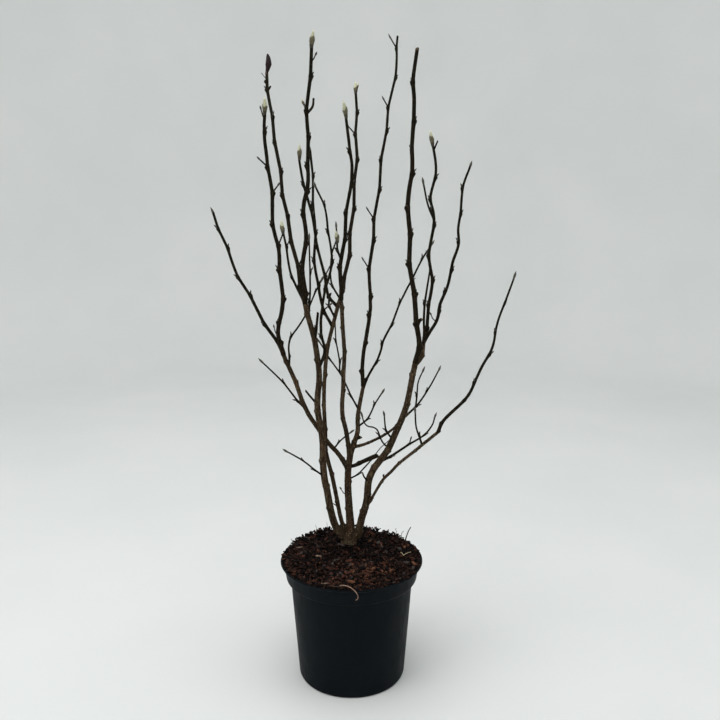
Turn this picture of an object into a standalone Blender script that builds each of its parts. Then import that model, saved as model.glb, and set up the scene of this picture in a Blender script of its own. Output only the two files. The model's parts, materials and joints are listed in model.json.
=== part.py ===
# A leafless magnolia shrub with several stems, growing in a round black nursery pot.
#
# The frame: the origin is the middle of the pot's flat underside, Z is up, X runs across the
# shrub from left to right and Y runs away from whoever looks at its front.
#
# Every limb follows one rule. It leaves its parent at a height, passes a few bends and ends at
# its tip, its depth goes evenly from the parent's to the tip's, and it kinks a little to one
# side and then the other at its nodes, where its buds sit.

import math
import random
from collections import namedtuple

import bmesh
import bpy
from mathutils import Quaternion, Vector

CM = 0.01
MM = 0.001

# Gap between two pieces that rest on each other
GAP = 0.3 * MM

# Points closer together than this are one point
WELD = 0.001 * MM

# The pot: a thin-walled tapered tub that steps out to a slanting band under its lip
POT_HEIGHT = 18.8 * CM
POT_BASE_RADIUS = 8.33 * CM
POT_BODY_TOP_RADIUS = 9.45 * CM
POT_BODY_TOP = 15.85 * CM
BAND_FOOT_RADIUS = 10.15 * CM
BAND_FOOT = 16.2 * CM
BAND_EDGE_IN = 0.1 * CM
BAND_EDGE_DOWN = 0.15 * CM
BAND_TOP_RADIUS = 10.45 * CM
POT_LIP_RADIUS = 11.0 * CM
POT_LIP_INSIDE = 10.7 * CM
POT_LIP_HEIGHT = 0.2 * CM
LIP_UNDERCUT = 0.3 * CM
LIP_BEVEL_DOWN = 0.08 * CM
LIP_BEVEL_IN = 0.06 * CM
LIP_FLARE = 0.05 * CM
INNER_STEP = 0.1 * CM
POT_EDGE_ROUND = 0.35 * CM
POT_EDGE_SHARE = 0.3
POT_FLOOR_ROUND = 0.3 * CM
POT_WALL = 1.5 * MM
POT_SIDES = 48
DRAIN_HOLES = 8
DRAIN_RADIUS = 0.55 * CM
DRAIN_CIRCLE = 6.2 * CM
DRAIN_SIDES = 10
DRAIN_CUT = 1 * CM
POT_CREASE = 35

# The bark compost that fills the pot, heaped round the shrub's foot and towards the back left
SOIL_EDGE_DROP = 0.15 * CM
SOIL_EDGE_IN = 0.1 * CM
SOIL_TOP_AT_FOOT = 19.5 * CM
SOIL_PAD_RADIUS = 1.8 * CM
SOIL_PAD_DEPTH = 2 * CM
SOIL_PAD_SIDES = 16
SOIL_HEAP_RADIUS = 5.0 * CM
SOIL_ROUGHNESS = 0.22 * CM
SOIL_SHOULDER_IN = 0.4 * CM
SOIL_RISE = 0.6 * CM
SOIL_RISE_TOWARDS = Vector((-0.35, 0.94))
SOIL_SINK = 0.1 * CM
SOIL_RINGS = 6
SOIL_SIDES = 32
SOIL_CREASE = 30

# The shrub's foot, where the trunk leaves the compost
FOOT_ACROSS = -0.5 * CM
FOOT_DEPTH = 4.0 * CM
FLARE_RADIUS = 0.8 * CM
FLARE_HEIGHT = 1.3 * CM
FLARE_RINGS = (0.5 * CM, 1.1 * CM)

# The growth rule: nodes along a limb, the kink at each, and the swelling at a limb's foot
NODE_SPACING = 3.9 * CM
NODE_SPREAD = 0.25
FIRST_NODE = 2.0 * CM
FIRST_NODE_SPREAD = (0.8, 1.3)
BARE_TIP = 0.4
KINK_OF_SHOOT = 0.17 * CM
KINK_OF_BOUGH = 0.06 * CM
PLANE_WANDER = 0.7
NODE_TWIST = 0.35
NODE_TWIST_STEP = 1.7
COLLAR_SWELLING = 0.22
COLLAR_LENGTH = 0.9 * CM

# Side buds, and the short spurs that some nodes carry in place of a bud
BUD_LENGTH = (0.55 * CM, 0.95 * CM)
BUD_WIDTH = 0.28 * CM
BUD_LEAN = 0.7
BUD_ROOT = 0.2
BUD_PROFILE = ((0.0, 0.55), (0.38, 1.0), (0.72, 0.62), (1.0, 0.08))
SPUR_CHANCE = 0.14
SPUR_LENGTH = (1.0 * CM, 1.9 * CM)
SPUR_THICKNESS = 0.19 * CM
SPUR_FOOT_SWELLING = 1.2
SPUR_BUD_SINK = 0.1
SPUR_BEARER = 3.5
BARE_FOOT = 0.14

# End buds: length and width, and how far they reach back over the tip they sit on
END_BUDS = {
    "flower": (2.3 * CM, 0.66 * CM),
    "dark": (3.1 * CM, 0.95 * CM),
    "leaf": (1.2 * CM, 0.36 * CM),
}
END_BUD_OVERLAP = 0.35
END_BUD_OVER_TIP = 1.25
DARK_BUD_PROFILE = ((-0.06, 0.45), (0.12, 0.75), (0.42, 1.0), (0.72, 0.85), (0.93, 0.45), (1.0, 0.1))
DARK_BUD_BOW = 0.07

# How finely the limbs' solids are made
RING_SPACING = 2.1 * CM
CURVE_STEPS = 8
HEIGHT_STEP = 1 * MM
TIP_ROUNDNESS = 0.8
LIMB_CREASE = 50
THICK_SHOOT = 3.5
TRUNK_SIDES = 12
BOUGH_SIDES = 8
SHOOT_SIDES = 5
TWIG_SIDES = 4
BUD_SIDES = 4
END_BUD_SIDES = 6

# Limbs that leave one parent closer together than this are cut clear of each other
CROTCH_REACH = 4.0 * CM

# A limb: the limb it leaves and the height there, its bends and tip as (across, up) in
# centimetres, its tip's depth in centimetres, its thickness at foot and tip in millimetres,
# what it ends in, and whether it is fused to its parent's solid
Limb = namedtuple("Limb", "name parent leaves_at bends depth thick end fused", defaults=("leaf", False))

STEMS = (
    Limb("trunk", "", 19.53, ((-0.3, 22), (-0.45, 25.3), (-0.68, 29), (-0.6, 31.6), (-0.2, 34.4)),
         5.0, (12.5, 10), "none"),
    Limb("left_stem", "trunk", 20.1, ((-1.85, 21.0), (-2.65, 22.5), (-3.25, 24.8), (-3.9, 28.6), (-4.3, 31),
                                      (-4.55, 37.5), (-5.2, 43), (-4.9, 49.5), (-6.9, 59.5)),
         0.0, (12, 7.5), "none"),
    Limb("left_inner_stem", "trunk", 20.1, ((-1.25, 21.5), (-1.95, 24.3), (-2.35, 26.7), (-3, 29.8),
                                            (-3.85, 33.3), (-4.15, 36), (-4.3, 46), (-3.3, 53), (-1.2, 60.5)),
         6.5, (7, 6), "none"),
    Limb("right_stem", "trunk", 20.1, ((0.8, 20.8), (1.2, 22.2), (1.65, 24), (2.2, 26), (2.5, 29),
                                       (2.7, 30.5), (3.3, 32.1), (4.4, 33.9), (5.45, 35.6), (6.4, 37.6),
                                       (8.2, 42.5), (9.6, 50)), 0.3, (12, 8.5), "none"),
)

BOUGHS = (
    Limb("left_outer_bough", "trunk", 31.5, ((-1.3, 32.9), (-2.3, 34.6), (-3.7, 36.4), (-6.1, 40.2),
                                             (-7.2, 42.7), (-8.6, 46.9), (-10.5, 52)),
         0.5, (7.5, 6.5), "none"),
    Limb("centre_bough", "trunk", 33.5, ((-0.9, 37.8), (-1.5, 42), (-1.1, 50), (-1.6, 59.3)),
         3.0, (7.5, 6), "none"),
    Limb("centre_right_bough", "trunk", 33.8, ((0.9, 37.3), (0.9, 40), (1.9, 44.8)),
         8.0, (8.5, 6), "none"),
    Limb("right_low_bough", "right_stem", 26.1, ((3, 27), (3.5, 28.3), (4.75, 31.1), (6.1, 32.8),
                                                 (7.7, 34.8), (13, 40.4)), -3.5, (4.6, 5), "none"),
    Limb("right_upper_bough", "right_stem", 49.3, ((10.5, 50.6), (11, 53.4)), 2.5, (6.5, 5.5), "none"),
    Limb("right_back_bough", "centre_right_bough", 35.1, ((2.3, 35.6), (6.1, 37.3), (9.1, 40.1)),
         7.5, (5, 4), "none"),
)

SHOOTS = (
    # The shoots of the outer left bough
    Limb("far_left_shoot", "left_outer_bough", 51.6, ((-13, 56.4), (-16.5, 63.7), (-19.2, 71.8)),
         -3.0, (4.5, 2.8), "leaf"),
    Limb("left_tall_shoot", "left_outer_bough", 50.9, ((-10.8, 54), (-10, 58), (-9.9, 65), (-10.5, 69.5),
                                                       (-10.7, 77.5), (-11.2, 81.8), (-10.8, 84.8)),
         -10, (6, 3.5), "flower"),
    Limb("left_low_twig", "left_outer_bough", 41.9, ((-9.2, 44.8), (-11.3, 47.3), (-13.5, 49.7)),
         1.5, (2.4, 1.6)),
    Limb("left_crossing_twig", "left_outer_bough", 48.9, ((-9.3, 52.5), (-7.4, 55.8), (-4.4, 61.9)),
         3.0, (2.4, 1.6)),
    Limb("left_outer_twig", "left_outer_bough", 35.2, ((-1.2, 37.5), (0, 38.9)), 1.0, (2, 1.4)),
    # The shoots of the left stem
    Limb("left_back_leader", "left_stem", 59.3, ((-7.8, 63.2), (-9.9, 73), (-12.2, 86.5), (-13, 92.8)),
         12, (5.2, 4), "dark"),
    Limb("left_front_leader", "left_stem", 58.6, ((-6.8, 64.5), (-6.3, 69), (-6.4, 73), (-5.6, 77),
                                                  (-5.6, 83), (-5.2, 88), (-4.7, 92.6)),
         -11, (6, 3.5), "flower"),
    Limb("left_bud_shoot", "left_stem", 57.6, ((-8.5, 62), (-9.3, 64.5), (-10.2, 69.3)),
         3.5, (3, 2.4), "flower"),
    Limb("left_thin_shoot", "left_stem", 56.3, ((-6, 59.5), (-6.2, 63.4), (-6.2, 68.1)), 2.4, (2.4, 1.6)),
    Limb("left_stub", "left_stem", 53.0, ((-5, 54.8), (-4.8, 57.7)), -0.8, (3.4, 2.8), "cut"),
    Limb("left_low_spur", "left_stem", 31.0, ((-6.2, 33.3), (-8.8, 35.9), (-9.8, 36.8)), -2.0, (2.2, 1.5)),
    Limb("left_notch_twig", "left_stem", 43.0, ((-6.4, 44.3), (-7, 45)), 2.4, (2.6, 2.2), "cut"),
    Limb("inner_branch", "left_stem", 48.8, ((-4, 51.8), (-4.3, 54.6), (-4.3, 58), (-2.8, 64.5),
                                             (-3.2, 71), (-4.7, 75.3)), -7.0, (4, 1.8)),
    # The shoots of the slender inner stem
    Limb("inner_second_shoot", "left_inner_stem", 54.2, ((-4.6, 57.9), (-5.6, 63), (-5.9, 73), (-6.5, 81.3)),
         12, (4, 3)),
    Limb("inner_stub", "left_inner_stem", 55.7, ((-3.3, 58), (-3.1, 60)), 3.8, (2.6, 2.4), "cut"),
    Limb("inner_long_shoot", "left_inner_stem", 57.3, ((-3.7, 60), (-5.3, 68.4), (-7.3, 78.5), (-7.4, 80)),
         2.0, (4, 2.8), "flower"),
    Limb("inner_bud_twig", "left_inner_stem", 58.6, ((-3.1, 61.4), (-3.2, 65.2), (-2.4, 67.6), (-2.4, 69.7)),
         9.5, (2.4, 1.6), "leaf"),
    Limb("back_leader", "left_inner_stem", 60.1, ((-0.5, 65), (0, 70), (0.7, 80), (0.6, 91)),
         17, (5.5, 3.6), "flower"),
    # The shoots of the centre boughs
    Limb("centre_leader", "centre_bough", 58.8, ((-1.6, 62), (-1.2, 66.4), (0, 76), (0.2, 79), (-0.6, 84.6)),
         -8, (5.5, 3), "flower"),
    Limb("centre_bud_twig", "centre_leader", 65.0, ((-1.8, 66.6), (-1.9, 68.2)), -2.6, (2.6, 2.2),
         "flower", True),
    Limb("centre_back_twig", "centre_right_bough", 40.8, ((-1, 44.8), (-4.1, 49.8), (-5.3, 51.5)),
         9.5, (2.4, 1.5)),
    Limb("centre_riser", "centre_back_twig", 46.6, ((-2.2, 49.5), (-2.7, 55.2)), 9.8, (1.9, 1.4),
         "leaf", True),
    Limb("back_right_leader", "centre_right_bough", 44.4, ((1.9, 50.5), (3, 56), (2.8, 59), (3.1, 65.5),
                                                           (5.2, 83.5), (6.9, 94), (7.1, 98.4)),
         14, (5.8, 2.8), "cut"),
    Limb("back_right_shoot", "centre_right_bough", 43.4, ((3.1, 46.8), (4.65, 49.8), (5.5, 52.3), (8.2, 58),
                                                          (9.6, 61), (13.1, 66.7)), 15, (3.2, 2.2)),
    Limb("low_riser", "centre_right_bough", 38.1, ((2.6, 40.2), (4.8, 44.7)), 3.0, (2.2, 1.5)),
    Limb("trunk_stub", "trunk", 31.9, ((0.8, 32.2), (2.2, 32.8), (4, 33.5)), 6.0, (4.2, 7), "cut"),
    Limb("trunk_cross_twig", "trunk", 29.9, ((0.8, 30.4), (3.4, 32.2)), 8.5, (2, 1.5)),
    # The shoots of the right stem
    Limb("right_leader", "right_stem", 49.7, ((9.9, 53.5), (8.9, 60.5), (8.3, 66), (7.9, 74), (8.3, 79),
                                              (8.2, 83), (8.3, 86), (8.2, 88.5), (8.5, 92)),
         -10, (7.2, 4), "cut"),
    Limb("right_pair_front", "right_upper_bough", 53.0, ((11.4, 56.2), (11.9, 61), (11.6, 65.5), (12, 71),
                                                         (11.6, 74), (12.1, 78), (11.6, 81.8)),
         1.5, (4.6, 3), "flower"),
    Limb("right_pair_twig", "right_pair_front", 70.6, ((11, 72.7), (10.2, 76)), -1.0, (2.4, 1.8),
         "leaf", True),
    Limb("right_pair_back", "right_upper_bough", 51.6, ((10.9, 55.5), (11.4, 59), (12, 63.1)),
         6.0, (3.4, 2.2)),
    Limb("right_outer_shoot", "right_upper_bough", 52.4, ((12.6, 55.8), (12.9, 58.3), (14, 61), (14.3, 64.4),
                                                          (15.3, 67.4), (15, 70), (15.4, 75), (16.1, 77.9)),
         -6.0, (4.4, 2.4)),
    Limb("low_right_shoot", "right_low_bough", 40.1, ((13.7, 42.2), (16.9, 46.2), (18.5, 50.6), (19.8, 53.8),
                                                      (20.4, 57.8), (22, 63.4)), -9, (4.4, 1.9)),
    Limb("low_right_riser", "right_low_bough", 37.7, ((9.5, 40.6), (9.3, 43.6)), -4.0, (2.4, 1.5)),
    Limb("low_right_inner", "right_stem", 33.5, ((7, 34.6), (10.8, 36.2), (12.8, 37.8), (13.5, 39.2)),
         9.0, (3.6, 1.7)),
    Limb("right_back_outer", "right_back_bough", 39.6, ((10.9, 41.8), (12.6, 43.8), (14.2, 46.7)),
         10.5, (2.8, 1.5)),
    Limb("right_back_upright", "right_back_outer", 41.0, ((10.6, 43), (10.7, 45), (11.4, 46.9)),
         8.5, (2.2, 1.4), "leaf", True),
    Limb("right_inner_twig", "right_stem", 37.4, ((5.4, 39.3), (4.9, 42.2)), -1.0, (2.2, 1.5)),
    Limb("right_curl", "right_stem", 35.9, ((4.85, 36.9), (4.5, 37.8), (4.1, 38.8), (3.4, 39.2), (2.5, 39.3),
                                            (1.9, 40), (1.6, 41)), 3.0, (1.8, 1.3)),
    Limb("right_spur", "right_stem", 30.1, ((1.9, 31.5), (1.7, 32.4)), 1.0, (2.2, 1.6), "cut"),
)

LIMBS = STEMS + BOUGHS + SHOOTS

# Surface finishes: base colour, roughness, metallic
FINISHES = {
    "old_bark": ((0.105, 0.070, 0.045, 1.0), 0.85, 0.0),
    "young_bark": ((0.045, 0.034, 0.024, 1.0), 0.7, 0.0),
    "black_plastic": ((0.012, 0.015, 0.017, 1.0), 0.55, 0.0),
    "bark_compost": ((0.035, 0.016, 0.010, 1.0), 0.95, 0.0),
}


# Materials and mesh helpers


def finish(name):
    """Return the named Principled material, made on first use."""
    material = bpy.data.materials.get(name)
    if material:
        return material
    colour, roughness, metallic = FINISHES[name]
    material = bpy.data.materials.new(name)
    material.use_nodes = True
    shader = material.node_tree.nodes["Principled BSDF"]
    shader.inputs["Base Color"].default_value = colour
    shader.inputs["Roughness"].default_value = roughness
    shader.inputs["Metallic"].default_value = metallic
    return material


def new_object(name, points, faces, finish_name):
    """Make one mesh object in the scene from points and faces."""
    mesh = bpy.data.meshes.new(name)
    mesh.from_pydata([tuple(point) for point in points], [], faces)
    mesh.materials.append(finish(finish_name))
    thing = bpy.data.objects.new(name, mesh)
    bpy.context.scene.collection.objects.link(thing)
    return thing


def remove_object(thing):
    """Delete an object and its mesh."""
    mesh = thing.data
    bpy.data.objects.remove(thing)
    bpy.data.meshes.remove(mesh)


def hide_cutter(thing):
    """Mark an object as a cutter that isn't part of the shrub."""
    thing.hide_render = True
    thing.display_type = "WIRE"


def smooth(thing, angle):
    """Shade an object smooth, with sharp edges past an angle in degrees."""
    thing.data.shade_smooth()
    thing.data.set_sharp_from_angle(angle=math.radians(angle))


def apply_modifiers(thing):
    """Replace an object's mesh by its evaluated one."""
    depsgraph = bpy.context.evaluated_depsgraph_get()
    evaluated = bpy.data.meshes.new_from_object(thing.evaluated_get(depsgraph))
    old = thing.data
    thing.modifiers.clear()
    thing.data = evaluated
    bpy.data.meshes.remove(old)


def boolean(thing, operation, others):
    """Join others to a thing, or cut them from it, in one Boolean, and remove them."""
    collection = bpy.data.collections.new("operands")
    bpy.context.scene.collection.children.link(collection)
    for other in others:
        collection.objects.link(other)
        bpy.context.scene.collection.objects.unlink(other)
        hide_cutter(other)
    modifier = thing.modifiers.new("fuse", "BOOLEAN")
    modifier.operand_type = "COLLECTION"
    modifier.collection = collection
    modifier.operation = operation
    modifier.solver = "EXACT"
    apply_modifiers(thing)
    for other in others:
        remove_object(other)
    bpy.data.collections.remove(collection)


def drop_scraps(thing):
    """Keep only the largest connected piece of a mesh, welded and without slivers."""
    shape = bmesh.new()
    shape.from_mesh(thing.data)
    bmesh.ops.remove_doubles(shape, verts=shape.verts, dist=WELD)
    bmesh.ops.dissolve_degenerate(shape, edges=shape.edges, dist=WELD)
    pending = set(shape.verts)
    islands = []
    while pending:
        front = [pending.pop()]
        island = set(front)
        while front:
            for edge in front.pop().link_edges:
                for vert in edge.verts:
                    if vert in pending:
                        pending.remove(vert)
                        island.add(vert)
                        front.append(vert)
        islands.append(island)
    islands.sort(key=len)
    scraps = [vert for island in islands[:-1] for vert in island]
    bmesh.ops.delete(shape, geom=scraps, context="VERTS")
    bmesh.ops.triangulate(shape, faces=shape.faces)
    shape.to_mesh(thing.data)
    shape.free()


# Routes


def curve_through(points):
    """Return a smooth polyline through the given points."""
    first = points[0] * 2 - points[1]
    last = points[-1] * 2 - points[-2]
    knots = [first, *points, last]
    line = []
    for index in range(1, len(knots) - 2):
        before, start, end, after = knots[index - 1:index + 3]
        for step in range(CURVE_STEPS):
            t = step / CURVE_STEPS
            line.append(0.5 * (2 * start + (end - before) * t
                               + (2 * before - 5 * start + 4 * end - after) * t ** 2
                               + (3 * start - before - 3 * end + after) * t ** 3))
    line.append(points[-1])
    return line


def lengths_along(line):
    """Return the running length at each point of a polyline."""
    lengths = [0.0]
    for start, end in zip(line, line[1:]):
        lengths.append(lengths[-1] + (end - start).length)
    return lengths


def point_at(line, lengths, wanted):
    """Return the point and the direction at a length along a polyline."""
    index = 1
    while index < len(line) - 1 and lengths[index] < wanted:
        index += 1
    span = lengths[index] - lengths[index - 1]
    share = (wanted - lengths[index - 1]) / span
    return line[index - 1].lerp(line[index], share), (line[index] - line[index - 1]).normalized()


class Route:
    """A limb's centre line with its nodes and its thickness."""

    def __init__(self, limb, parent):
        self.limb = limb
        self.rng = random.Random("magnolia " + limb.name)
        if parent:
            start = parent.at_height(limb.leaves_at * CM)
        else:
            start = Vector((FOOT_ACROSS, FOOT_DEPTH, limb.leaves_at * CM))
        self.line = self.centre_line(start)
        self.lengths = lengths_along(self.line)
        self.length = self.lengths[-1]
        self.nodes = self.place_nodes()
        self.kink = KINK_OF_SHOOT if limb in SHOOTS else KINK_OF_BOUGH
        self.plane = self.rng.uniform(-PLANE_WANDER, PLANE_WANDER)
        self.side = self.rng.choice((-1, 1))

    def centre_line(self, start):
        """Curve the limb through its bends, with its depth spread evenly along it."""
        flat = [Vector((start.x, start.z))] + [Vector(bend) * CM for bend in self.limb.bends]
        lengths = lengths_along(flat)
        points = []
        for spot, length in zip(flat, lengths):
            depth = start.y + (self.limb.depth * CM - start.y) * length / lengths[-1]
            points.append(Vector((spot.x, depth, spot.y)))
        return curve_through(points)

    def place_nodes(self):
        """Space the nodes by the seeded growth rule."""
        nodes = []
        place = FIRST_NODE * self.rng.uniform(*FIRST_NODE_SPREAD)
        while place < self.length - BARE_TIP * NODE_SPACING:
            nodes.append(place)
            place += NODE_SPACING * self.rng.uniform(1 - NODE_SPREAD, 1 + NODE_SPREAD)
        return nodes

    def radius(self, place):
        """Return the limb's radius at a length along it."""
        foot, tip = (0.5 * MM * thickness for thickness in self.limb.thick)
        radius = foot + (tip - foot) * place / self.length
        if self.limb.parent:
            return radius * (1 + COLLAR_SWELLING * math.exp(-place / COLLAR_LENGTH))
        return radius + FLARE_RADIUS * math.exp(-place / FLARE_HEIGHT)

    def outward(self, index):
        """Return the direction that node number index kinks and buds towards."""
        turn = self.plane + NODE_TWIST * math.sin(NODE_TWIST_STEP * index)
        sign = self.side * (-1) ** index
        return Vector((sign * math.cos(turn), sign * math.sin(turn), 0))

    def shift(self, place):
        """Return the sideways shift that the kinks give at a length along the limb."""
        stops = [(0.0, Vector())]
        for index, node in enumerate(self.nodes):
            stops.append((node, self.outward(index) * self.kink))
        stops.append((self.length, Vector()))
        for (low, start), (high, end) in zip(stops, stops[1:]):
            if place <= high:
                return start.lerp(end, (place - low) / (high - low))
        return Vector()

    def at(self, place):
        """Return the kinked centre line's point and direction at a length along it."""
        point, direction = point_at(self.line, self.lengths, place)
        return point + self.shift(place), direction

    def at_height(self, height):
        """Return the centre line's point at a height."""
        place = 0.0
        while place < self.length and point_at(self.line, self.lengths, place)[0].z < height:
            place += HEIGHT_STEP
        return self.at(min(place, self.length))[0]

    def ring_places(self):
        """Return the lengths at which the limb's solid has a ring."""
        stops = [0.0, *self.nodes, self.length]
        if not self.limb.parent:
            stops[1:1] = FLARE_RINGS
        places = []
        for low, high in zip(stops, stops[1:]):
            count = max(1, round((high - low) / RING_SPACING))
            places += [low + (high - low) * step / count for step in range(count)]
        return places + [self.length]


# Limb solids


def tube(name, centres, radii, sides, rounded, finish_name, level_foot=False):
    """Sweep rings along centres, with a flat foot and a rounded or flat end."""
    points = []
    faces = []
    direction = (centres[1] - centres[0]).normalized()
    across = direction.orthogonal().normalized()
    for index, (centre, radius) in enumerate(zip(centres, radii)):
        before = centres[max(index - 1, 0)]
        after = centres[min(index + 1, len(centres) - 1)]
        turned = (after - before).normalized()
        across = direction.rotation_difference(turned) @ across
        direction = turned
        beside = direction.cross(across)
        for side in range(sides):
            angle = 2 * math.pi * side / sides
            point = centre + radius * (math.cos(angle) * across + math.sin(angle) * beside)
            if index == 0 and level_foot:
                point.z = centre.z
            points.append(point)
    for ring in range(len(centres) - 1):
        low = ring * sides
        for side in range(sides):
            following = (side + 1) % sides
            faces.append((low + side, low + following, low + sides + following, low + sides + side))
    faces.append(tuple(reversed(range(sides))))
    last = (len(centres) - 1) * sides
    if rounded:
        points.append(centres[-1] + direction * radii[-1] * TIP_ROUNDNESS)
        for side in range(sides):
            faces.append((last + side, last + (side + 1) % sides, len(points) - 1))
    else:
        faces.append(tuple(last + side for side in range(sides)))
    return new_object(name, points, faces, finish_name)


def sides_of(limb):
    """Return how many sides a limb's solid has."""
    if not limb.parent:
        return TRUNK_SIDES
    if limb in STEMS or limb in BOUGHS:
        return BOUGH_SIDES
    return SHOOT_SIDES if limb.thick[0] > THICK_SHOOT else TWIG_SIDES


def limb_tube(name, route, extra=0.0):
    """Make a limb's plain solid, or one that is fatter by extra for use as a cutter."""
    places = route.ring_places()
    centres = [route.at(place)[0] for place in places]
    radii = [route.radius(place) + extra for place in places]
    rounded = route.limb.end != "cut"
    bark = "young_bark" if route.limb in SHOOTS else "old_bark"
    return tube(name, centres, radii, sides_of(route.limb), rounded, bark, not route.limb.parent)


def bud(name, foot, direction, length, width, sides=BUD_SIDES):
    """Make one pointed bud as a short spindle."""
    centres = [foot + direction * length * along for along, _ in BUD_PROFILE]
    radii = [0.5 * width * share for _, share in BUD_PROFILE]
    return tube(name, centres, radii, sides, False, "young_bark")


def curved_bud(name, foot, direction, length, width):
    """Make the large end bud, which bows a little to one side."""
    bow = Vector((1, 0, 0)) * DARK_BUD_BOW * length
    centres = []
    for along, _ in DARK_BUD_PROFILE:
        centres.append(foot + direction * length * along + bow * math.sin(math.pi * max(along, 0)))
    radii = [0.5 * width * share for _, share in DARK_BUD_PROFILE]
    return tube(name, centres, radii, END_BUD_SIDES, False, "young_bark")


def leaning(direction, outward, angle):
    """Turn a direction by an angle towards outward."""
    axis = direction.cross(outward)
    return (Quaternion(axis, angle) @ direction).normalized()


def end_bud(route):
    """Make the bud that ends a limb."""
    kind = route.limb.end
    length, width = END_BUDS[kind]
    point, direction = route.at(route.length)
    if kind == "dark":
        return curved_bud("bud", point, direction, length, width)
    width = max(width, END_BUD_OVER_TIP * route.limb.thick[1] * MM)
    sides = END_BUD_SIDES if kind == "flower" else BUD_SIDES
    return bud("bud", point - direction * END_BUD_OVERLAP * length, direction, length, width, sides)


def side_growth(route):
    """Make a bud or a short spur with its bud at each node of a shoot."""
    pieces = []
    for index, place in enumerate(route.nodes):
        length = route.rng.uniform(*BUD_LENGTH)
        spur = route.rng.uniform(*SPUR_LENGTH)
        grows_spur = route.rng.random() < SPUR_CHANCE
        if place < BARE_FOOT * route.length:
            continue
        point, direction = route.at(place)
        outward = route.outward(index)
        aim = leaning(direction, outward, BUD_LEAN)
        foot = point + outward * BUD_ROOT * route.radius(place)
        if grows_spur and route.limb.thick[0] > SPUR_BEARER:
            end = foot + aim * spur
            radius = 0.5 * SPUR_THICKNESS
            radii = [SPUR_FOOT_SWELLING * radius, radius]
            pieces.append(tube("spur", [point, end], radii, TWIG_SIDES, True, "young_bark"))
            foot = end - aim * SPUR_BUD_SINK * length
        pieces.append(bud("bud", foot, aim, length, BUD_WIDTH))
    return pieces


def make_routes():
    """Work out every limb's route, each after its parent's."""
    routes = {}
    for limb in LIMBS:
        routes[limb.name] = Route(limb, routes.get(limb.parent))
    return routes


def neighbours(limb, done):
    """List the finished limbs that a new limb has to be cut clear of at its foot."""
    near = [limb.parent]
    for other in done:
        if other.parent == limb.parent and abs(other.leaves_at - limb.leaves_at) * CM < CROTCH_REACH:
            near.append(other.name)
    return near


def build_limb(limb, routes, done):
    """Make one limb as a solid: fused with what grows on it and clear of what it grows from."""
    route = routes[limb.name]
    body = limb_tube(limb.name, route)
    growth = []
    if limb in SHOOTS:
        carried = [route] + [routes[other.name] for other in SHOOTS
                             if other.fused and other.parent == limb.name]
        for twig in carried:
            growth += side_growth(twig)
            if twig.limb.end != "cut":
                growth.append(end_bud(twig))
        for twig in carried[1:]:
            growth.append(limb_tube("twig", twig))
    if growth:
        boolean(body, "UNION", growth)
    if limb.parent:
        cutters = [limb_tube("cutter", routes[name], GAP) for name in neighbours(limb, done)]
        boolean(body, "DIFFERENCE", cutters)
    drop_scraps(body)
    smooth(body, LIMB_CREASE)


def build_shrub():
    """Build every limb that isn't fused to another."""
    routes = make_routes()
    done = []
    for limb in LIMBS:
        if not limb.fused:
            build_limb(limb, routes, done)
            done.append(limb)


# The pot and its filling


def turned(name, profile, sides, finish_name):
    """Turn a closed profile of (radius, height) about Z; it starts and ends on the axis."""
    points = [Vector((0, 0, profile[0][1]))]
    for radius, height in profile[1:-1]:
        for side in range(sides):
            angle = 2 * math.pi * side / sides
            points.append(Vector((radius * math.cos(angle), radius * math.sin(angle), height)))
    points.append(Vector((0, 0, profile[-1][1])))
    faces = []
    for side in range(sides):
        faces.append((0, 1 + (side + 1) % sides, 1 + side))
    rings = len(profile) - 2
    for ring in range(rings - 1):
        low = 1 + ring * sides
        for side in range(sides):
            following = (side + 1) % sides
            faces.append((low + side, low + following, low + sides + following, low + sides + side))
    last = 1 + (rings - 1) * sides
    for side in range(sides):
        faces.append((last + side, last + (side + 1) % sides, len(points) - 1))
    return new_object(name, points, faces, finish_name)


def pot_outside():
    """Return the pot's outer profile from its underside to its lip."""
    return [
        (0.0, 0.0),
        (POT_BASE_RADIUS - POT_EDGE_ROUND, 0.0),
        (POT_BASE_RADIUS - POT_EDGE_SHARE * POT_EDGE_ROUND, POT_EDGE_SHARE * POT_EDGE_ROUND),
        (POT_BASE_RADIUS, POT_EDGE_ROUND),
        (POT_BODY_TOP_RADIUS, POT_BODY_TOP),
        (BAND_FOOT_RADIUS - BAND_EDGE_IN, BAND_FOOT - BAND_EDGE_DOWN),
        (BAND_FOOT_RADIUS, BAND_FOOT),
        (BAND_TOP_RADIUS, POT_HEIGHT - POT_LIP_HEIGHT - LIP_UNDERCUT),
        (POT_LIP_RADIUS, POT_HEIGHT - POT_LIP_HEIGHT),
        (POT_LIP_RADIUS, POT_HEIGHT - LIP_BEVEL_DOWN),
        (POT_LIP_RADIUS - LIP_BEVEL_IN, POT_HEIGHT),
    ]


def pot_inside():
    """Return the pot's inner profile from its lip to its floor."""
    return [
        (POT_LIP_INSIDE + LIP_FLARE, POT_HEIGHT),
        (POT_LIP_INSIDE, POT_HEIGHT - POT_LIP_HEIGHT),
        (BAND_TOP_RADIUS - POT_WALL, POT_HEIGHT - POT_LIP_HEIGHT - LIP_UNDERCUT + INNER_STEP),
        (BAND_FOOT_RADIUS - POT_WALL, BAND_FOOT + INNER_STEP),
        (POT_BODY_TOP_RADIUS - POT_WALL, POT_BODY_TOP + INNER_STEP),
        (POT_BASE_RADIUS - POT_WALL, POT_EDGE_ROUND + POT_WALL),
        (POT_BASE_RADIUS - POT_WALL - POT_FLOOR_ROUND, POT_WALL),
        (0.0, POT_WALL),
    ]


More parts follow.
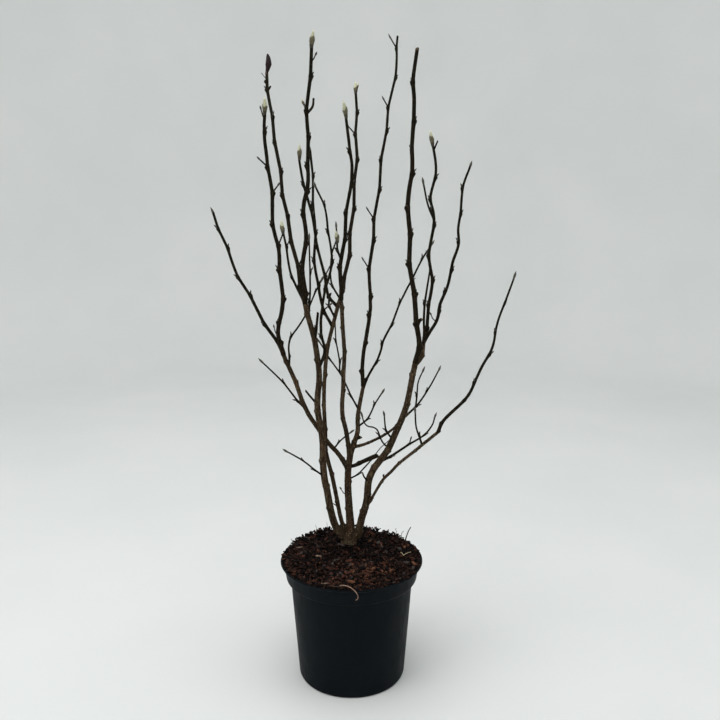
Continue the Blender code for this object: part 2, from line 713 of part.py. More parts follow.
def build_pot():
    """Make the pot with its ring of drain holes."""
    pot = turned("pot", pot_outside() + pot_inside(), POT_SIDES, "black_plastic")
    cutters = []
    for hole in range(DRAIN_HOLES):
        angle = 2 * math.pi * (hole + 0.5) / DRAIN_HOLES
        place = Vector((DRAIN_CIRCLE * math.cos(angle), DRAIN_CIRCLE * math.sin(angle), 0))
        ends = [place - Vector((0, 0, DRAIN_CUT)), place + Vector((0, 0, DRAIN_CUT))]
        cutters.append(tube("drain", ends, [DRAIN_RADIUS] * 2, DRAIN_SIDES, False, "black_plastic"))
    boolean(pot, "DIFFERENCE", cutters)
    smooth(pot, POT_CREASE)


def soil_height(spot, rng):
    """Return the compost's height at a spot: heaped, and rougher away from the shrub's foot."""
    away = math.hypot(spot.x - FOOT_ACROSS, spot.y - FOOT_DEPTH)
    edge = POT_HEIGHT - SOIL_EDGE_DROP
    heap = math.exp(-(away / SOIL_HEAP_RADIUS) ** 2)
    rough = SOIL_ROUGHNESS * rng.uniform(-1, 1) * (1 - heap)
    rise = SOIL_RISE * max(0.0, SOIL_RISE_TOWARDS.dot(spot.xy) / POT_LIP_RADIUS)
    return edge + (SOIL_TOP_AT_FOOT - edge) * heap + rise * (1 - heap) + rough


def build_soil():
    """Make the compost: the pot's inside, filled to the lip, with a heaped rough top."""
    rng = random.Random("compost")
    wall = [(radius - GAP, height) for radius, height in reversed(pot_inside()[:-1])]
    wall[0] = (wall[0][0] - GAP, POT_WALL + GAP)
    wall[-1] = (wall[-1][0] - SOIL_EDGE_IN, POT_HEIGHT - SOIL_EDGE_DROP)
    rim = wall[-1][0]
    profile = [(0.0, POT_WALL + GAP)] + wall + [(rim - SOIL_SHOULDER_IN, POT_HEIGHT)]
    for ring in range(1, SOIL_RINGS):
        profile.append((rim * (1 - ring / SOIL_RINGS), POT_HEIGHT))
    profile.append((0.0, POT_HEIGHT))
    soil = turned("compost", profile, SOIL_SIDES, "bark_compost")
    pad_top = Vector((FOOT_ACROSS, FOOT_DEPTH, SOIL_TOP_AT_FOOT))
    pad_ends = [pad_top - Vector((0, 0, SOIL_PAD_DEPTH)), pad_top]
    pad = tube("pad", pad_ends, [SOIL_PAD_RADIUS] * 2, SOIL_PAD_SIDES, False, "bark_compost")
    first_top = 1 + len(wall) * SOIL_SIDES
    for vertex in soil.data.vertices[first_top:]:
        vertex.co.z = soil_height(vertex.co, rng) - SOIL_SINK
    boolean(soil, "UNION", [pad])
    drop_scraps(soil)
    smooth(soil, SOIL_CREASE)


def main():
    for thing in list(bpy.data.objects):
        bpy.data.objects.remove(thing)
    build_pot()
    build_soil()
    build_shrub()


main()
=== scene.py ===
# The looks of a leafless magnolia shrub in a black nursery pot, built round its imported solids.
#
# The frame: metres, the origin in the middle of the pot's flat underside, Z up, X across the
# shrub from left to right and Y away from the camera.
#
# Every limb follows the growth rule of the part's source with the same seeds, so each one runs
# where its solid runs. Here the rule is carried on to the bark, the cushions and scars at the
# nodes, the buds with their scales and down, and the chips and fibres of the compost.

import json
import math
import random
from collections import namedtuple

import bpy
import numpy as np
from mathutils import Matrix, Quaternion, Vector, noise
from mathutils.kdtree import KDTree

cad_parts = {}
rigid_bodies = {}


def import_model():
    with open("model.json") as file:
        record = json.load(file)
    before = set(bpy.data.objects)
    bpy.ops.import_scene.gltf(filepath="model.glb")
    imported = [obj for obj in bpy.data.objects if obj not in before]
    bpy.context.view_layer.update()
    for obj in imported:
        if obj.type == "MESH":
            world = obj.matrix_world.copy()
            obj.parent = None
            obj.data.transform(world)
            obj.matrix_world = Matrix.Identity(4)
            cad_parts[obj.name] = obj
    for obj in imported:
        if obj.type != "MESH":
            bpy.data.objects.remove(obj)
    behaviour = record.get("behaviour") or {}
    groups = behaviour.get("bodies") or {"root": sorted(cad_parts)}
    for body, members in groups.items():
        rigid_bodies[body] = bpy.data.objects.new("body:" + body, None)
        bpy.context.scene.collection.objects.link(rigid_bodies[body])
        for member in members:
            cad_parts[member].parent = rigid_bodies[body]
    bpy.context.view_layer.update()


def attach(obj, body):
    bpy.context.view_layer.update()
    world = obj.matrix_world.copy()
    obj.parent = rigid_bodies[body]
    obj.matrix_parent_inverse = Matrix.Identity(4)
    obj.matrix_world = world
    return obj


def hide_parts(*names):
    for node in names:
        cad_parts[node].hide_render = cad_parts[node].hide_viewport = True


CM = 0.01
MM = 0.001

# The camera, fitted to the photo: lens in millimetres on a 36 mm wide frame
CAMERA_PLACE = (0.013, -1.13, 0.72)
CAMERA_PITCH = 10.9
CAMERA_LENS = 38.75

# The pot
POT_HEIGHT = 18.8 * CM
POT_BASE_RADIUS = 8.33 * CM
POT_BODY_TOP_RADIUS = 9.45 * CM
POT_BODY_TOP = 15.85 * CM
BAND_FOOT_RADIUS = 10.15 * CM
BAND_FOOT = 16.2 * CM
BAND_EDGE_IN = 0.1 * CM
BAND_EDGE_DOWN = 0.15 * CM
BAND_TOP_RADIUS = 10.45 * CM
POT_LIP_RADIUS = 11.0 * CM
POT_LIP_INSIDE = 10.7 * CM
POT_LIP_HEIGHT = 0.2 * CM
LIP_UNDERCUT = 0.3 * CM
POT_EDGE_ROUND = 0.35 * CM
POT_WALL = 1.5 * MM
POT_SIDES = 144
DRAIN_HOLES = 8
DRAIN_RADIUS = 0.55 * CM
DRAIN_CIRCLE = 6.2 * CM

# The compost
SOIL_EDGE = 18.65 * CM
SOIL_TOP_AT_FOOT = 19.45 * CM
SOIL_HEAP_RADIUS = 5.0 * CM
SOIL_RADIUS = 10.6 * CM
SOIL_BED_DROP = 1.5 * MM
SOIL_SKIRT_DROP = 0.6 * CM
SOIL_LUMPS = 1.5 * MM
SOIL_GRAIN = 160
SOIL_ROUGHNESS = 1.6 * MM
SOIL_RINGS = 60
SOIL_SIDES = 150
SOIL_WALL = POT_LIP_INSIDE - 0.6 * MM
SOIL_SKIRT = SOIL_WALL - 4.5 * MM
# The heights that the compost stays above, at radii over the pot's band and lip
LIP_FLOOR_RADII = np.array((10.1, 10.3, 10.7, 10.78, 11.3)) * CM
LIP_FLOOR_HEIGHTS = np.array((17.5, 18.45, 18.64, 18.82, 18.82)) * CM
SOIL_RISE = 0.6 * CM
SOIL_RISE_TOWARDS = (-0.35, 0.94)

# The shrub's foot
FOOT_ACROSS = -0.5 * CM
FOOT_DEPTH = 4.0 * CM
FLARE_RADIUS = 0.8 * CM
FLARE_HEIGHT = 1.3 * CM
FOOT_BURRS = 7

# The growth rule
NODE_SPACING = 3.9 * CM
NODE_SPREAD = 0.25
FIRST_NODE = 2.0 * CM
KINK_OF_SHOOT = 0.17 * CM
KINK_OF_BOUGH = 0.06 * CM
PLANE_WANDER = 0.7
NODE_TWIST = 0.35
NODE_TWIST_STEP = 1.7
COLLAR_SWELLING = 0.22
COLLAR_LENGTH = 0.9 * CM
BUD_LENGTH = (0.55 * CM, 0.95 * CM)
BUD_WIDTH = 0.28 * CM
BUD_LEAN = 0.7
BUD_ROOT = 0.2
SPUR_CHANCE = 0.14
SPUR_LENGTH = (1.0 * CM, 1.9 * CM)
SPUR_THICKNESS = 0.19 * CM
SPUR_BEARER = 3.5
BARE_FOOT = 0.14
END_BUDS = {
    "flower": (2.3 * CM, 0.66 * CM),
    "dark": (3.1 * CM, 0.95 * CM),
    "leaf": (1.2 * CM, 0.36 * CM),
}
END_BUD_OVERLAP = 0.35
END_BUD_OVER_TIP = 1.25
CURVE_STEPS = 8
HEIGHT_STEP = 1 * MM

# A limb: the limb it leaves and the height there, its bends and tip as (across, up) in
# centimetres, its tip's depth in centimetres, its thickness at foot and tip in millimetres,
# what it ends in, and whether it is fused to its parent's solid
Limb = namedtuple("Limb", "name parent leaves_at bends depth thick end fused", defaults=("leaf", False))

STEMS = (
    Limb("trunk", "", 19.53, ((-0.3, 22), (-0.45, 25.3), (-0.68, 29), (-0.6, 31.6), (-0.2, 34.4)),
         5.0, (12.5, 10), "none"),
    Limb("left_stem", "trunk", 20.1, ((-1.85, 21.0), (-2.65, 22.5), (-3.25, 24.8), (-3.9, 28.6), (-4.3, 31),
                                      (-4.55, 37.5), (-5.2, 43), (-4.9, 49.5), (-6.9, 59.5)),
         0.0, (12, 7.5), "none"),
    Limb("left_inner_stem", "trunk", 20.1, ((-1.25, 21.5), (-1.95, 24.3), (-2.35, 26.7), (-3, 29.8),
                                            (-3.85, 33.3), (-4.15, 36), (-4.3, 46), (-3.3, 53),
                                            (-1.2, 60.5)),
         6.5, (7, 6), "none"),
    Limb("right_stem", "trunk", 20.1, ((0.8, 20.8), (1.2, 22.2), (1.65, 24), (2.2, 26), (2.5, 29),
                                       (2.7, 30.5), (3.3, 32.1), (4.4, 33.9), (5.45, 35.6), (6.4, 37.6),
                                       (8.2, 42.5), (9.6, 50)), 0.3, (12, 8.5), "none"),
)

BOUGHS = (
    Limb("left_outer_bough", "trunk", 31.5, ((-1.3, 32.9), (-2.3, 34.6), (-3.7, 36.4), (-6.1, 40.2),
                                             (-7.2, 42.7), (-8.6, 46.9), (-10.5, 52)),
         0.5, (7.5, 6.5), "none"),
    Limb("centre_bough", "trunk", 33.5, ((-0.9, 37.8), (-1.5, 42), (-1.1, 50), (-1.6, 59.3)),
         3.0, (7.5, 6), "none"),
    Limb("centre_right_bough", "trunk", 33.8, ((0.9, 37.3), (0.9, 40), (1.9, 44.8)),
         8.0, (8.5, 6), "none"),
    Limb("right_low_bough", "right_stem", 26.1, ((3, 27), (3.5, 28.3), (4.75, 31.1), (6.1, 32.8),
                                                 (7.7, 34.8), (13, 40.4)), -3.5, (4.6, 5), "none"),
    Limb("right_upper_bough", "right_stem", 49.3, ((10.5, 50.6), (11, 53.4)), 2.5, (6.5, 5.5), "none"),
    Limb("right_back_bough", "centre_right_bough", 35.1, ((2.3, 35.6), (6.1, 37.3), (9.1, 40.1)),
         7.5, (5, 4), "none"),
)

SHOOTS = (
    # The shoots of the outer left bough
    Limb("far_left_shoot", "left_outer_bough", 51.6, ((-13, 56.4), (-16.5, 63.7), (-19.2, 71.8)),
         -3.0, (4.5, 2.8), "leaf"),
    Limb("left_tall_shoot", "left_outer_bough", 50.9, ((-10.8, 54), (-10, 58), (-9.9, 65), (-10.5, 69.5),
                                                       (-10.7, 77.5), (-11.2, 81.8), (-10.8, 84.8)),
         -10, (6, 3.5), "flower"),
    Limb("left_low_twig", "left_outer_bough", 41.9, ((-9.2, 44.8), (-11.3, 47.3), (-13.5, 49.7)),
         1.5, (2.4, 1.6)),
    Limb("left_crossing_twig", "left_outer_bough", 48.9, ((-9.3, 52.5), (-7.4, 55.8), (-4.4, 61.9)),
         3.0, (2.4, 1.6)),
    Limb("left_outer_twig", "left_outer_bough", 35.2, ((-1.2, 37.5), (0, 38.9)), 1.0, (2, 1.4)),
    # The shoots of the left stem
    Limb("left_back_leader", "left_stem", 59.3, ((-7.8, 63.2), (-9.9, 73), (-12.2, 86.5), (-13, 92.8)),
         12, (5.2, 4), "dark"),
    Limb("left_front_leader", "left_stem", 58.6, ((-6.8, 64.5), (-6.3, 69), (-6.4, 73), (-5.6, 77),
                                                  (-5.6, 83), (-5.2, 88), (-4.7, 92.6)),
         -11, (6, 3.5), "flower"),
    Limb("left_bud_shoot", "left_stem", 57.6, ((-8.5, 62), (-9.3, 64.5), (-10.2, 69.3)),
         3.5, (3, 2.4), "flower"),
    Limb("left_thin_shoot", "left_stem", 56.3, ((-6, 59.5), (-6.2, 63.4), (-6.2, 68.1)), 2.4, (2.4, 1.6)),
    Limb("left_stub", "left_stem", 53.0, ((-5, 54.8), (-4.8, 57.7)), -0.8, (3.4, 2.8), "cut"),
    Limb("left_low_spur", "left_stem", 31.0, ((-6.2, 33.3), (-8.8, 35.9), (-9.8, 36.8)), -2.0, (2.2, 1.5)),
    Limb("left_notch_twig", "left_stem", 43.0, ((-6.4, 44.3), (-7, 45)), 2.4, (2.6, 2.2), "cut"),
    Limb("inner_branch", "left_stem", 48.8, ((-4, 51.8), (-4.3, 54.6), (-4.3, 58), (-2.8, 64.5),
                                             (-3.2, 71), (-4.7, 75.3)), -7.0, (4, 1.8)),
    # The shoots of the slender inner stem
    Limb("inner_second_shoot", "left_inner_stem", 54.2, ((-4.6, 57.9), (-5.6, 63), (-5.9, 73), (-6.5, 81.3)),
         12, (4, 3)),
    Limb("inner_stub", "left_inner_stem", 55.7, ((-3.3, 58), (-3.1, 60)), 3.8, (2.6, 2.4), "cut"),
    Limb("inner_long_shoot", "left_inner_stem", 57.3, ((-3.7, 60), (-5.3, 68.4), (-7.3, 78.5), (-7.4, 80)),
         2.0, (4, 2.8), "flower"),
    Limb("inner_bud_twig", "left_inner_stem", 58.6, ((-3.1, 61.4), (-3.2, 65.2), (-2.4, 67.6), (-2.4, 69.7)),
         9.5, (2.4, 1.6), "leaf"),
    Limb("back_leader", "left_inner_stem", 60.1, ((-0.5, 65), (0, 70), (0.7, 80), (0.6, 91)),
         17, (5.5, 3.6), "flower"),
    # The shoots of the centre boughs
    Limb("centre_leader", "centre_bough", 58.8, ((-1.6, 62), (-1.2, 66.4), (0, 76), (0.2, 79), (-0.6, 84.6)),
         -8, (5.5, 3), "flower"),
    Limb("centre_bud_twig", "centre_leader", 65.0, ((-1.8, 66.6), (-1.9, 68.2)), -2.6, (2.6, 2.2),
         "flower", True),
    Limb("centre_back_twig", "centre_right_bough", 40.8, ((-1, 44.8), (-4.1, 49.8), (-5.3, 51.5)),
         9.5, (2.4, 1.5)),
    Limb("centre_riser", "centre_back_twig", 46.6, ((-2.2, 49.5), (-2.7, 55.2)), 9.8, (1.9, 1.4),
         "leaf", True),
    Limb("back_right_leader", "centre_right_bough", 44.4, ((1.9, 50.5), (3, 56), (2.8, 59), (3.1, 65.5),
                                                           (5.2, 83.5), (6.9, 94), (7.1, 98.4)),
         14, (5.8, 2.8), "cut"),
    Limb("back_right_shoot", "centre_right_bough", 43.4, ((3.1, 46.8), (4.65, 49.8), (5.5, 52.3), (8.2, 58),
                                                          (9.6, 61), (13.1, 66.7)), 15, (3.2, 2.2)),
    Limb("low_riser", "centre_right_bough", 38.1, ((2.6, 40.2), (4.8, 44.7)), 3.0, (2.2, 1.5)),
    Limb("trunk_stub", "trunk", 31.9, ((0.8, 32.2), (2.2, 32.8), (4, 33.5)), 6.0, (4.2, 7), "cut"),
    Limb("trunk_cross_twig", "trunk", 29.9, ((0.8, 30.4), (3.4, 32.2)), 8.5, (2, 1.5)),
    # The shoots of the right stem
    Limb("right_leader", "right_stem", 49.7, ((9.9, 53.5), (8.9, 60.5), (8.3, 66), (7.9, 74), (8.3, 79),
                                              (8.2, 83), (8.3, 86), (8.2, 88.5), (8.5, 92)),
         -10, (7.2, 4), "cut"),
    Limb("right_pair_front", "right_upper_bough", 53.0, ((11.4, 56.2), (11.9, 61), (11.6, 65.5), (12, 71),
                                                         (11.6, 74), (12.1, 78), (11.6, 81.8)),
         1.5, (4.6, 3), "flower"),
    Limb("right_pair_twig", "right_pair_front", 70.6, ((11, 72.7), (10.2, 76)), -1.0, (2.4, 1.8),
         "leaf", True),
    Limb("right_pair_back", "right_upper_bough", 51.6, ((10.9, 55.5), (11.4, 59), (12, 63.1)),
         6.0, (3.4, 2.2)),
    Limb("right_outer_shoot", "right_upper_bough", 52.4, ((12.6, 55.8), (12.9, 58.3), (14, 61), (14.3, 64.4),
                                                          (15.3, 67.4), (15, 70), (15.4, 75), (16.1, 77.9)),
         -6.0, (4.4, 2.4)),
    Limb("low_right_shoot", "right_low_bough", 40.1, ((13.7, 42.2), (16.9, 46.2), (18.5, 50.6), (19.8, 53.8),
                                                      (20.4, 57.8), (22, 63.4)), -9, (4.4, 1.9)),
    Limb("low_right_riser", "right_low_bough", 37.7, ((9.5, 40.6), (9.3, 43.6)), -4.0, (2.4, 1.5)),
    Limb("low_right_inner", "right_stem", 33.5, ((7, 34.6), (10.8, 36.2), (12.8, 37.8), (13.5, 39.2)),
         9.0, (3.6, 1.7)),
    Limb("right_back_outer", "right_back_bough", 39.6, ((10.9, 41.8), (12.6, 43.8), (14.2, 46.7)),
         10.5, (2.8, 1.5)),
    Limb("right_back_upright", "right_back_outer", 41.0, ((10.6, 43), (10.7, 45), (11.4, 46.9)),
         8.5, (2.2, 1.4), "leaf", True),
    Limb("right_inner_twig", "right_stem", 37.4, ((5.4, 39.3), (4.9, 42.2)), -1.0, (2.2, 1.5)),
    Limb("right_curl", "right_stem", 35.9, ((4.85, 36.9), (4.5, 37.8), (4.1, 38.8), (3.4, 39.2), (2.5, 39.3),
                                            (1.9, 40), (1.6, 41)), 3.0, (1.8, 1.3)),
    Limb("right_spur", "right_stem", 30.1, ((1.9, 31.5), (1.7, 32.4)), 1.0, (2.2, 1.6), "cut"),
)

LIMBS = STEMS + BOUGHS + SHOOTS

# A small spur or stub that shows: the limb it grows from and the height there, its bends and tip
# as (across, up) in centimetres, how far back its tip lies past its foot in centimetres, its
# thickness in millimetres and what ends it
Spur = namedtuple("Spur", "limb height bends push thick end")

SPURS = (
    Spur("trunk", 27.2, ((-1.3, 27.7), (-1.7, 28.3)), 0.2, 1.4, "leaf"),
    Spur("left_inner_stem", 25.3, ((-2.6, 25.9), (-3.0, 26.25)), -0.6, 1.6, "none"),
    Spur("right_low_bough", 31.5, ((4.92, 31.85), (4.95, 32.1)), 0.0, 2.6, "cut"),
    Spur("trunk_stub", 33.3, ((4.4, 34.7), (5.0, 35.4), (5.9, 36.3)), -0.8, 1.3, "none"),
    Spur("centre_right_bough", 36.4, ((1.15, 36.6), (1.4, 36.7)), -0.1, 5.4, "cut"),
    Spur("right_pair_front", 80.4, ((12.1, 81.1), (12.4, 81.8)), -0.2, 2.2, "cut"),
    Spur("right_outer_shoot", 55.8, ((12.1, 56.3), (11.8, 56.9)), -0.3, 1.4, "leaf"),
    Spur("right_leader", 55.4, ((9.9, 56.2), (10.25, 56.5)), 0.0, 5.0, "cut"),
    Spur("left_tall_shoot", 83.4, ((-11.2, 84.1), (-11.4, 84.8)), 0.2, 1.6, "leaf"),
    Spur("left_tall_shoot", 53.6, ((-11.15, 54.4), (-11.35, 55.1)), 0.2, 1.4, "leaf"),
    Spur("left_front_leader", 84.1, ((-5.65, 84.8), (-5.95, 85.5)), 0.3, 2.2, "cream"),
    Spur("left_front_leader", 84.3, ((-4.85, 85.2), (-4.68, 86.2)), -0.3, 2.9, "cut"),
    Spur("left_front_leader", 90.3, ((-4.5, 90.8), (-4.3, 91.2)), 0.1, 1.5, "leaf"),
    Spur("back_leader", 90.2, ((0.75, 90.9), (0.85, 91.3)), 0.2, 2.2, "cream"),
    Spur("left_back_leader", 91.6, ((-13.3, 92.1), (-13.8, 92.7)), 0.1, 1.0, "none"),
    Spur("left_back_leader", 91.0, ((-13.15, 91.3), (-13.3, 91.5)), -0.1, 3.4, "cut"),
    Spur("left_back_leader", 90.0, ((-12.6, 90.3), (-12.35, 90.7)), 0.1, 3.0, "none"),
)

# How finely the limbs are made
SPINE_STEP = 1.2 * MM
SPINE_ROUNDING = 7
WOOD_SIDES = 24
WOOD_VOXEL = 0.89 * MM
WOOD_ROUNDING = 7
SHOOT_STEP = 2.4 * MM
NODE_STEP = 0.5 * MM
NODE_REACH = 6.5 * MM
SHOOT_SIDES = 14
SHOOT_FULLNESS = 0.35 * MM

# A shoot's growth in its last year and in each year before, in centimetres, how thick its older
# bark is in radius, and how thick in millimetres a twig is at most and a bearer of leaf scars at least
LAST_GROWTH = (11, 19)
YEAR_GROWTH = (12, 20)
OLD_BARK_RADIUS = 2.4 * MM
TWIG_THICKNESS = 3
SCAR_BEARER = 2.5


# The growth rule, as in the part's source


def curve_through(points):
    """Return a smooth polyline through the given points."""
    first = points[0] * 2 - points[1]
    last = points[-1] * 2 - points[-2]
    knots = [first, *points, last]
    line = []
    for index in range(1, len(knots) - 2):
        before, start, end, after = knots[index - 1:index + 3]
        for step in range(CURVE_STEPS):
            t = step / CURVE_STEPS
            line.append(0.5 * (2 * start + (end - before) * t
                               + (2 * before - 5 * start + 4 * end - after) * t ** 2
                               + (3 * start - before - 3 * end + after) * t ** 3))
    line.append(points[-1])
    return line


def lengths_along(line):
    """Return the running length at each point of a polyline."""
    lengths = [0.0]
    for start, end in zip(line, line[1:]):
        lengths.append(lengths[-1] + (end - start).length)
    return lengths


def point_at(line, lengths, wanted):
    """Return the point and the direction at a length along a polyline."""
    index = 1
    while index < len(line) - 1 and lengths[index] < wanted:
        index += 1
    span = lengths[index] - lengths[index - 1]
    share = (wanted - lengths[index - 1]) / span
    return line[index - 1].lerp(line[index], share), (line[index] - line[index - 1]).normalized()


class Route:
    """A limb's centre line with its nodes and its thickness."""

    def __init__(self, limb, parent):
        self.limb = limb
        self.rng = random.Random("magnolia " + limb.name)
        self.fine = random.Random("bark of " + limb.name)
        if parent:
            start = parent.at_height(limb.leaves_at * CM)
        else:
            start = Vector((FOOT_ACROSS, FOOT_DEPTH, limb.leaves_at * CM))
        self.line = self.centre_line(start)
        self.lengths = lengths_along(self.line)
        self.length = self.lengths[-1]
        self.nodes = self.place_nodes()
        self.kink = KINK_OF_SHOOT if limb in SHOOTS else KINK_OF_BOUGH
        self.plane = self.rng.uniform(-PLANE_WANDER, PLANE_WANDER)
        self.side = self.rng.choice((-1, 1))

    def centre_line(self, start):
        """Curve the limb through its bends, with its depth spread evenly along it."""
        flat = [Vector((start.x, start.z))] + [Vector(bend) * CM for bend in self.limb.bends]
        lengths = lengths_along(flat)
        points = []
        for spot, length in zip(flat, lengths):
            depth = start.y + (self.limb.depth * CM - start.y) * length / lengths[-1]
            points.append(Vector((spot.x, depth, spot.y)))
        return curve_through(points)

    def place_nodes(self):
        """Space the nodes by the seeded growth rule."""
        nodes = []
        place = FIRST_NODE * self.rng.uniform(0.8, 1.3)
        while place < self.length - 0.4 * NODE_SPACING:
            nodes.append(place)
            place += NODE_SPACING * self.rng.uniform(1 - NODE_SPREAD, 1 + NODE_SPREAD)
        return nodes

    def radius(self, place):
        """Return the limb's radius at a length along it, or at an array of lengths."""
        foot, tip = (0.5 * MM * thickness for thickness in self.limb.thick)
        radius = foot + (tip - foot) * place / self.length
        if self.limb.parent:
            return radius * (1 + COLLAR_SWELLING * np.exp(-place / COLLAR_LENGTH))
        return radius + FLARE_RADIUS * np.exp(-place / FLARE_HEIGHT)

    def outward(self, index):
        """Return the direction that node number index kinks and buds towards."""
        turn = self.plane + NODE_TWIST * math.sin(NODE_TWIST_STEP * index)
        sign = self.side * (-1) ** index
        return Vector((sign * math.cos(turn), sign * math.sin(turn), 0))

    def shift(self, place):
        """Return the sideways shift that the kinks give at a length along the limb."""
        stops = [(0.0, Vector())]
        for index, node in enumerate(self.nodes):
            stops.append((node, self.outward(index) * self.kink))
        stops.append((self.length, Vector()))
        for (low, start), (high, end) in zip(stops, stops[1:]):
            if place <= high:
                return start.lerp(end, (place - low) / (high - low))
        return Vector()

    def at(self, place):
        """Return the kinked centre line's point and direction at a length along it."""
        point, direction = point_at(self.line, self.lengths, place)
        return point + self.shift(place), direction

    def at_height(self, height):
        """Return the centre line's point at a height."""
        place = 0.0
        while place < self.length and point_at(self.line, self.lengths, place)[0].z < height:
            place += HEIGHT_STEP
        return self.at(min(place, self.length))[0]

    def spine(self):
        """Return the rounded centre line as lengths and points, finely and evenly spaced."""
        count = max(8, round(self.length / SPINE_STEP))
        places = np.linspace(0, self.length, count + 1)
        points = np.array([self.at(place)[0] for place in places])
        for _ in range(SPINE_ROUNDING):
            points[1:-1] = 0.25 * (points[:-2] + 2 * points[1:-1] + points[2:])
        return places, points


def leaning(direction, outward, angle):
    """Turn a direction by an angle towards outward."""
    axis = direction.cross(outward)
    return (Quaternion(axis, angle) @ direction).normalized()


def make_routes():
    """Work out every limb's route, each after its parent's."""
    routes = {}
    for limb in LIMBS:
        routes[limb.name] = Route(limb, routes.get(limb.parent))
    return routes


# Joined meshes


class Joined:
    """Gathers many small meshes into one object."""

    def __init__(self):
        self.points = []
        self.loops = []
        self.sizes = []
        self.slots = []
        self.count = 0

    def add(self, points, *face_sets):
        """Add points, with one or more (faces, slot) pairs that count from the first of them."""
        self.points.append(np.asarray(points, dtype=np.float32).reshape(-1, 3))
        for faces, slot in face_sets:
            faces = np.asarray(faces, dtype=np.int32)
            self.loops.append((faces + self.count).ravel())
            self.sizes.append(np.full(len(faces), faces.shape[1], dtype=np.int32))
            self.slots.append(np.broadcast_to(np.asarray(slot, dtype=np.int32), len(faces)))
        self.count += len(self.points[-1])

    def build(self, name, materials, replaces=(), slot=None):
        """Make the object, ride it on the shrub and say which nodes it stands for."""
        mesh = bpy.data.meshes.new(name)
        points = np.concatenate(self.points)
        loops = np.concatenate(self.loops)
        sizes = np.concatenate(self.sizes)
        mesh.vertices.add(len(points))
        mesh.vertices.foreach_set("co", points.ravel())
        mesh.loops.add(len(loops))
        mesh.loops.foreach_set("vertex_index", loops)
        mesh.polygons.add(len(sizes))
        mesh.polygons.foreach_set("loop_start", np.cumsum(sizes) - sizes)
        mesh.polygons.foreach_set("material_index", np.concatenate(self.slots))
        mesh.update(calc_edges=True)
        mesh.shade_smooth()
        for material in materials:
            mesh.materials.append(material)
        thing = bpy.data.objects.new(name, mesh)
        bpy.context.scene.collection.objects.link(thing)
        if slot:
            settle(thing, replaces)
        return thing


def settle(thing, replaces=()):
    """Ride a piece on the shrub and hide the nodes that it stands for."""
    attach(thing, "root")
    if replaces:
        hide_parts(*replaces)


def unit(rows, least=0.0):
    """Return rows of directions, each one long."""
    return rows / (np.linalg.norm(rows, axis=1)[:, None] + least)


def turn_of(sides):
    """Return evenly spaced angles all the way round."""
    return np.linspace(0, 2 * math.pi, sides, endpoint=False)


def circle(radius, angles, height=0.0):
    """Return points at a radius, at angles round the pot's axis and at a height."""
    heights = np.full(len(angles), height)
    return np.stack((radius * np.cos(angles), radius * np.sin(angles), heights), axis=1)


def frames_along(points):
    """Return the directions along a line of points, and two steady directions across it."""
    along = unit(np.gradient(points, axis=0))
    across = np.zeros_like(along)
    start = np.cross(along[0], (0.0, 1.0, 0.0))
    if np.linalg.norm(start) < 0.1:
        start = np.cross(along[0], (1.0, 0.0, 0.0))
    across[0] = start / np.linalg.norm(start)
    for index in range(1, len(points)):
        turned = across[index - 1] - along[index] * (across[index - 1] @ along[index])
        across[index] = turned / np.linalg.norm(turned)
    return along, across, np.cross(along, across)


def around_line(points, sides):
    """Return the outward directions of the rings along a line, and its directions along."""
    along, across, beside = frames_along(points)
    angles = turn_of(sides)[None, :, None]
    return np.cos(angles) * across[:, None] + np.sin(angles) * beside[:, None], along


def ring_faces(rings, sides):
    """Return the four-sided faces between rings of points."""
    low = np.arange((rings - 1) * sides).reshape(rings - 1, sides)
    following = np.roll(low, -1, axis=1)
    return np.stack((low, following, following + sides, low + sides), axis=-1).reshape(-1, 4)


def tube_faces(rings, sides):
    """Return a closed tube's faces: between its rings, and the fans to a point at each end."""
    low = np.arange(sides)
    last = (rings - 1) * sides + low
    low_fan = np.stack((np.roll(low, -1), low, np.full(sides, rings * sides)), axis=-1)
    end_fan = np.stack((last, np.roll(last, -1), np.full(sides, rings * sides + 1)), axis=-1)
    return ring_faces(rings, sides), low_fan, end_fan


def add_tube(joined, points, around, radii, slot=0, end_slot=None, dome=0.0):
    """Add a closed tube: rings along points, with a fan at each end.

    radii has a number for each ring or for each point of it, and slot has one for all or as radii.
    """
    rings, sides = around.shape[:2]
    radii = np.broadcast_to(radii, (sides, rings)).T if np.ndim(radii) == 1 else radii
    slots = np.broadcast_to(np.reshape(slot, (rings, 1)) if np.ndim(slot) == 1 else slot, (rings, sides))
    shell = points[:, None] + around * radii[:, :, None]
    ahead = points[-1] - points[-2]
    ahead = ahead / np.linalg.norm(ahead)
    foot = shell[0].mean(axis=0)
    end = shell[-1].mean(axis=0) + ahead * dome * radii[-1].mean()
    between, low_fan, end_fan = tube_faces(rings, sides)
    last_slot = slots[-1, 0] if end_slot is None else end_slot
    joined.add(np.concatenate((shell.reshape(-1, 3), [foot, end])),
               (between, slots[:-1].ravel()), (low_fan, slots[0, 0]), (end_fan, last_slot))


# Materials


